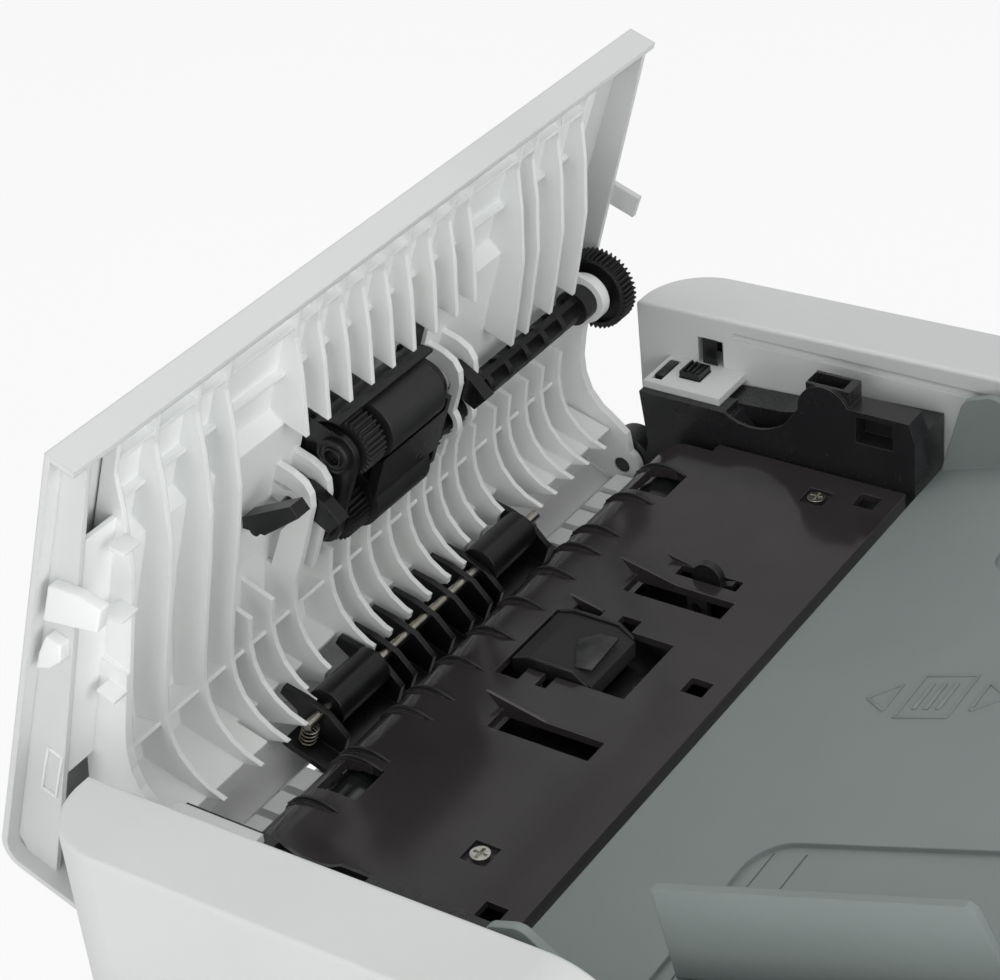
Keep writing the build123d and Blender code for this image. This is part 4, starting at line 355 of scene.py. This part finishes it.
class Shape:
    # closed forms drawn in a plane of the machine and gathered into one piece
    def __init__(self, place):
        self.mesh = bmesh.new()
        self.place = place

    def prism(self, outline, start, end, bevel, segments=2):
        face = self.mesh.faces.new([self.mesh.verts.new(self.place(a, b, start)) for a, b in outline])
        pull = self.place(0, 0, end) - self.place(0, 0, start)
        fresh = bmesh.ops.extrude_face_region(self.mesh, geom=[face], use_keep_orig=True)["geom"]
        moved = [part for part in fresh if isinstance(part, bmesh.types.BMVert)]
        bmesh.ops.translate(self.mesh, vec=pull, verts=moved)
        edges = set(face.edges)
        for vert in moved:
            edges.update(vert.link_edges)
        bmesh.ops.bevel(self.mesh, geom=list(edges), offset=bevel * unit, segments=segments, **smallEdge)

    def block(self, a0, a1, b0, b1, start, end, bevel):
        self.prism([(a0, b0), (a1, b0), (a1, b1), (a0, b1)], start, end, bevel)

    def ring(self, centre, profile, turns=40):
        # a closed profile of radius and Y, turned once about an axis along Y
        verts = [self.mesh.verts.new(self.place(centre[0] + radius, centre[1], y)) for radius, y in profile]
        edges = [self.mesh.edges.new((first, second)) for first, second in zip(verts, verts[1:] + verts[:1])]
        bmesh.ops.spin(self.mesh, geom=verts + edges, cent=self.place(*centre, 0), axis=(0, 1, 0),
                       angle=2 * math.pi, steps=turns, use_merge=True, use_duplicate=False)
        bmesh.ops.remove_doubles(self.mesh, verts=self.mesh.verts, dist=weldDistance)

    def frame(self, a0, a1, b0, b1, width, start, end, bevel):
        self.block(a0, a1, b0, b0 + width, start, end, bevel)
        self.block(a0, a1, b1 - width, b1, start, end, bevel)
        self.block(a0, a0 + width, b0 + width, b1 - width, start, end, bevel)
        self.block(a1 - width, a1, b0 + width, b1 - width, start, end, bevel)

    def finish(self, name, finish, body, slot):
        bmesh.ops.recalc_face_normals(self.mesh, faces=self.mesh.faces)
        mesh = bpy.data.meshes.new(name)
        self.mesh.to_mesh(mesh)
        self.mesh.free()
        mesh.shade_smooth()
        mesh.set_sharp_from_angle(angle=sharpAngle)
        mesh.materials.append(finishes[finish])
        piece = bpy.data.objects.new(name, mesh)
        scene.collection.objects.link(piece)
        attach(piece, body)


# clips, slot and cross webs on the near end wall of the cover
endSpec = {
    "wall": -118.2, "root": 0.2, "reach": 3.4, "clipBevel": 0.5, "clipSegments": 3,
    "clips": [
        [(86.4, 42.6), (89.5, 34.4), (90.0, 27.4), (82.3, 27.4), (78.8, 34.0), (74.3, 42.6)],
        [(62.8, 42.6), (69.8, 41.3), (69.8, 36.7), (64.9, 36.1), (60.3, 38.8), (57.2, 42.6)],
    ],
    "slot": (13.0, 29.0, 33.2, 38.4), "slotWidth": 0.7, "slotRise": 0.7, "slotBevel": 0.2,
    "webs": [((97.0, 31.0), (96.4, 35.4)), ((76.0, 28.4), (75.4, 33.6)), ((48.0, 26.8), (48.2, 32.4))],
    "webHalf": 0.6, "webStart": -110.4, "webEnd": -104.5, "webBevel": 0.15,
}
endRoot = endSpec["wall"] + endSpec["root"]
endShape = Shape(coverPlace)
for outline in endSpec["clips"]:
    endShape.prism(outline, endRoot, endSpec["wall"] - endSpec["reach"], endSpec["clipBevel"],
                   endSpec["clipSegments"])
endShape.frame(*endSpec["slot"], endSpec["slotWidth"], endRoot, endSpec["wall"] - endSpec["slotRise"],
               endSpec["slotBevel"])
endShape.finish("coverClips", "guide_plastic", "jam_cover", "guide_plastic")
webShape = Shape(coverPlace)
for (u0, w0), (u1, w1) in endSpec["webs"]:
    half = endSpec["webHalf"]
    webShape.prism([(u0 - half, w0), (u0 + half, w0), (u1 + half, w1), (u1 - half, w1)], endSpec["webStart"],
                   endSpec["webEnd"], endSpec["webBevel"])
webShape.finish("endWebs", "guide_plastic", "jam_cover", "guide_plastic")

# strip behind the feet of the cover's ribs
stripSpec = {"outline": [(-9.0, 3.4), (-15.2, 6.6), (-15.2, 7.6), (-9.0, 4.6)], "half": 96.0, "bevel": 0.2}
stripShape = Shape(coverPlace)
stripShape.prism(stripSpec["outline"], -stripSpec["half"], stripSpec["half"], stripSpec["bevel"])
stripShape.finish("footStrip", "guide_plastic", "jam_cover", "guide_plastic")
print("cover's end dressed")

# ringed bosses on the near side of the pick housing, at the pick roller and at the drive shaft
bossSpec = {
    "centres": [(73.2, 28.6), (48.7, 28.6)],
    "profile": [(5.0, -26.3), (5.0, -27.7), (4.6, -28.1), (4.0, -28.1), (3.7, -27.6), (3.0, -27.6),
                (2.8, -28.2), (2.3, -28.2), (2.3, -26.3)],
}
bossShape = Shape(coverPlace)
for centre in bossSpec["centres"]:
    bossShape.ring(centre, bossSpec["profile"])
bossShape.finish("pickBosses", "gear_plastic", "pick_arm", "black_plastic")

# bent flap on the separation pad, and the pad's side cheeks
flapSpec = {
    "flap": [(-38.0, 1.4), (-34.2, 5.8), (-28.4, 6.4), (-27.4, -8.6), (-32.3, -9.4), (-34.6, -5.2)],
    "low": 1.7, "high": 2.5,
    "cheek": [(-50.2, -4.6), (-50.2, 1.0), (-45.4, 2.7), (-31.4, 2.7), (-27.0, -0.6), (-27.0, -4.6)],
    "cheekInner": 11.1, "cheekOuter": 12.2, "bevel": 0.2,
}
flapShape = Shape(deckPlace)
flapShape.prism(flapSpec["flap"], flapSpec["low"], flapSpec["high"], flapSpec["bevel"])
flapShape.finish("padFlap", "frame_plastic", "lid", "black_plastic")
cheekShape = Shape(feedPlace)
for sign in (-1, 1):
    cheekShape.prism(flapSpec["cheek"], sign * flapSpec["cheekInner"], sign * flapSpec["cheekOuter"],
                     flapSpec["bevel"])
cheekShape.finish("padCheeks", "black_plastic", "lid", "black_plastic")

# glossy wires over the deck's fins, where they spring from the deck and bend down over its nose
wireSpec = {
    "axis": (-61.3, -13.3), "half": 0.4, "depth": 1.1, "bevel": 0.15,
    "reach": [(62, 15.0), (68, 14.9), (76, 14.9), (84, 15.0), (92, 15.0), (100, 15.0), (108, 14.9),
              (116, 14.6), (124, 14.2), (132, 13.8), (140, 13.5), (148, 13.1)],
    "places": [-83.2, -65.2, -61.5, -42.6, -33.1, -18.9, -4.0, 11.1, 27.0, 40.1, 50.1, 68.2, 85.3],
}
wireOutline = []
for depth, run in ((0.0, wireSpec["reach"]), (wireSpec["depth"], wireSpec["reach"][::-1])):
    for degrees, radius in run:
        angle = math.radians(degrees)
        wireOutline.append((wireSpec["axis"][0] + (radius - depth) * math.cos(angle),
                            wireSpec["axis"][1] + (radius - depth) * math.sin(angle)))
wireShape = Shape(feedPlace)
for y in wireSpec["places"]:
    wireShape.prism(wireOutline, y - wireSpec["half"], y + wireSpec["half"], wireSpec["bevel"])
wireShape.finish("finWires", "gear_plastic", "lid", "black_plastic")

# ridges on the latch button, each lower than the one before
latchSpec = {
    "first": -72.2, "pitch": 1.5, "count": 4, "width": 0.7, "low": 115.8, "high": 121.4, "foot": 14.0,
    "top": 15.1, "fall": 0.16, "bevel": 0.2,
}
ridgeShape = Shape(deckPlace)
for step in range(latchSpec["count"]):
    x = latchSpec["first"] + step * latchSpec["pitch"]
    ridgeShape.block(x, x + latchSpec["width"], latchSpec["low"], latchSpec["high"], latchSpec["foot"],
                     latchSpec["top"] - step * latchSpec["fall"], latchSpec["bevel"])
ridgeShape.finish("latchRidges", "black_plastic", "latch_body", "black_plastic")

# dark plates that paint in the shade behind the rim's window, the ledge's slot and the deck's slots, and a
# dark patch on the rim's face that paints the window's shade further down: two X, two Y, two Z and a bevel
paintedShadeSpec = {
    "rimWindow": (-72.2, -63.8, 133.2, 134.0, 12.3, 20.7, 0.1),
    "rimShadePatch": (-70.6, -65.6, 125.2, 125.56, 12.4, 21.0, 0.1),
    "ledgeSlot": (-80.3, -77.3, 113.0, 122.4, 10.0, 12.6, 0.3),
    "deckSlots": (-44.0, 3.0, -98.0, 98.0, -9.2, -8.4, 0.2),
}
# painted shade: these black pieces stand in for the shade inside the openings
paintedShadeShape = Shape(deckPlace)
for box in paintedShadeSpec.values():
    paintedShadeShape.block(*box)
paintedShadeShape.finish("paintedShadeBacks", "black_plastic", "lid", "black_plastic")
print("module, pad and latch dressed")

# plain relief on the tray: an outlined sheet with bars and two chevrons, no letters
reliefSpec = {
    "sheet": (62.1, 77.5, -8.6, 10.3), "line": 0.7, "foot": -0.2, "rise": 0.35, "bevel": 0.12,
    "bars": [65.4, 68.8, 72.2], "barWidth": 1.4, "barLow": -4.75, "barHigh": 6.45,
    "chevrons": [[(57.8, 6.4), (57.8, -5.4), (50.4, 0.4)], [(82.0, 6.4), (89.4, 0.4), (82.0, -5.4)]],
    "chevronBevel": 0.1,
}
reliefShape = Shape(trayPlace)
reliefRun = (reliefSpec["foot"], reliefSpec["rise"])
reliefShape.frame(*reliefSpec["sheet"], reliefSpec["line"], *reliefRun, reliefSpec["bevel"])
for bar in reliefSpec["bars"]:
    reliefShape.block(bar, bar + reliefSpec["barWidth"], reliefSpec["barLow"], reliefSpec["barHigh"],
                      *reliefRun, reliefSpec["bevel"])
for corners in reliefSpec["chevrons"]:
    for first, second in zip(corners, corners[1:] + corners[:1]):
        start, end = Vector(first), Vector(second)
        along = end - start
        side = Vector((-along.y, along.x)).normalized() * reliefSpec["line"] / 2
        outline = [tuple(start - side), tuple(start + side), tuple(end + side), tuple(end - side)]
        reliefShape.prism(outline, *reliefRun, reliefSpec["chevronBevel"])
reliefShape.finish("trayRelief", "tray_plastic", "lid", "tray_plastic")
print("tray dressed")

# back of the machine: a plain cluster of ports, each as X, Z, width and height
portSpec = {
    "y": 190.0, "ports": [(-140.0, 34.0, 14.0, 12.0), (-118.0, 34.0, 12.0, 10.0), (-98.0, 35.0, 12.0, 5.0)],
    "root": 0.4, "rim": 1.2, "rimRise": 0.5, "rimBevel": 0.2, "back": 0.6, "backRise": 0.2, "backBevel": 0.1,
}
portFrames, portBacks = Shape(machinePlace), Shape(machinePlace)
portRoot = portSpec["y"] - portSpec["root"]
for x, z, width, height in portSpec["ports"]:
    wide, high = width / 2 + portSpec["rim"], height / 2 + portSpec["rim"]
    portFrames.frame(x - wide, x + wide, z - high, z + high, portSpec["rim"], portRoot,
                     portSpec["y"] + portSpec["rimRise"], portSpec["rimBevel"])
    wide, high = width / 2 + portSpec["back"], height / 2 + portSpec["back"]
    portBacks.block(x - wide, x + wide, z - high, z + high, portRoot, portSpec["y"] + portSpec["backRise"],
                    portSpec["backBevel"])
portFrames.finish("portFrames", "frame_plastic", "machine", "black_plastic")
portBacks.finish("portBacks", "gear_plastic", "machine", "black_plastic")
print("back dressed")

# camera, worked out from the photograph's straight lines
cameraSpec = {
    "place": (0.172, -0.424, 0.715), "right": (0.8289, 0.5522, -0.0890), "up": (-0.2407, 0.4959, 0.8344),
    "ahead": (-0.5049, 0.6702, -0.5440), "lens": 92.2, "sensor": 36.0, "nearest": 0.01,
}
cameraData = bpy.data.cameras.new("photoCamera")
cameraData.lens = cameraSpec["lens"]
cameraData.sensor_width = cameraSpec["sensor"]
cameraData.clip_start = cameraSpec["nearest"]
camera = bpy.data.objects.new("photoCamera", cameraData)
scene.collection.objects.link(camera)
turn = Matrix((cameraSpec["right"], cameraSpec["up"], [-v for v in cameraSpec["ahead"]])).transposed()
camera.matrix_world = Matrix.Translation(cameraSpec["place"]) @ turn.to_4x4()
scene.camera = camera

# soft lamps
lampSpecs = {
    "topLamp": {"place": (-0.3, 0.2, 1.9), "aim": (-0.05, 0.0, 0.3), "size": 1.7, "power": 8.0},
    "rightLamp": {"place": (1.6, -0.5, 0.7), "aim": (-0.15, 0.0, 0.36), "size": 1.4, "power": 20.0},
    "frontLamp": {"place": (0.2, -2.0, 0.9), "aim": (-0.1, 0.0, 0.3), "size": 1.4, "power": 12.5},
    "leftLamp": {"place": (-1.7, -0.7, 1.1), "aim": (-0.1, 0.0, 0.3), "size": 1.2, "power": 5.0},
}
for name, spec in lampSpecs.items():
    lamp = bpy.data.lights.new(name, "AREA")
    lamp.shape = "SQUARE"
    lamp.size = spec["size"]
    lamp.energy = spec["power"]
    holder = bpy.data.objects.new(name, lamp)
    scene.collection.objects.link(holder)
    aim = Vector(spec["aim"]) - Vector(spec["place"])
    facing = aim.to_track_quat("-Z", "Y").to_matrix().to_4x4()
    holder.matrix_world = Matrix.Translation(spec["place"]) @ facing

# pale room: one tone lights the machine, a brighter one is seen by the camera
roomSpec = {"light": 0.55, "seenColour": (0.94, 0.94, 0.94, 1.0), "seen": 1.0}
world = bpy.data.worlds.new("paleRoom")
scene.world = world
world.use_nodes = True
room = world.node_tree
room.nodes.clear()
path = room.nodes.new("ShaderNodeLightPath")
plain = room.nodes.new("ShaderNodeBackground")
plain.inputs["Strength"].default_value = roomSpec["light"]
white = room.nodes.new("ShaderNodeBackground")
white.inputs["Color"].default_value = roomSpec["seenColour"]
white.inputs["Strength"].default_value = roomSpec["seen"]
seen = room.nodes.new("ShaderNodeMath")
seen.operation = "MAXIMUM"
pick = room.nodes.new("ShaderNodeMixShader")
sky = room.nodes.new("ShaderNodeOutputWorld")
for first, second in ((path.outputs["Is Camera Ray"], seen.inputs[0]),
                      (path.outputs["Is Transmission Ray"], seen.inputs[1]),
                      (seen.outputs[0], pick.inputs[0]), (plain.outputs[0], pick.inputs[1]),
                      (white.outputs[0], pick.inputs[2]), (pick.outputs[0], sky.inputs[0])):
    room.links.new(first, second)

# plain floor, partly glowing to the camera so that it meets the room without a line
floorSpec = {"scale": 3.0, "dark": "#eeeeee", "pale": "#f4f4f4", "glow": 1.0, "glowShare": 0.85, "half": 8.0}
floorFinish = Finish("paleFloor")
floorCloud = noise(floorFinish, objectPoint(floorFinish), floorSpec["scale"])
floorTone = blendColours(floorFinish, floorCloud, tint(floorSpec["dark"]), tint(floorSpec["pale"]))
floorMatte = floorFinish.node("ShaderNodeBsdfDiffuse", None, {"Color": floorTone})
floorWhite = floorFinish.node("ShaderNodeEmission", None, {
    "Color": (1, 1, 1, 1), "Strength": floorSpec["glow"]})
floorSeen = floorFinish.node("ShaderNodeLightPath", out="Is Camera Ray")
floorMix = floorFinish.node("ShaderNodeMixShader", None, {
    0: floorSeen * floorSpec["glowShare"], 1: floorMatte, 2: floorWhite})
floorFinish.node("ShaderNodeOutputMaterial", None, {"Surface": floorMix})
floorMesh = bpy.data.meshes.new("paleFloor")
shape = bmesh.new()
bmesh.ops.create_grid(shape, x_segments=1, y_segments=1, size=floorSpec["half"])
shape.to_mesh(floorMesh)
shape.free()
floorMesh.materials.append(floorFinish.material)
floor = bpy.data.objects.new("paleFloor", floorMesh)
scene.collection.objects.link(floor)
scene.view_settings.view_transform = "Standard"
print("camera, light and floor set")
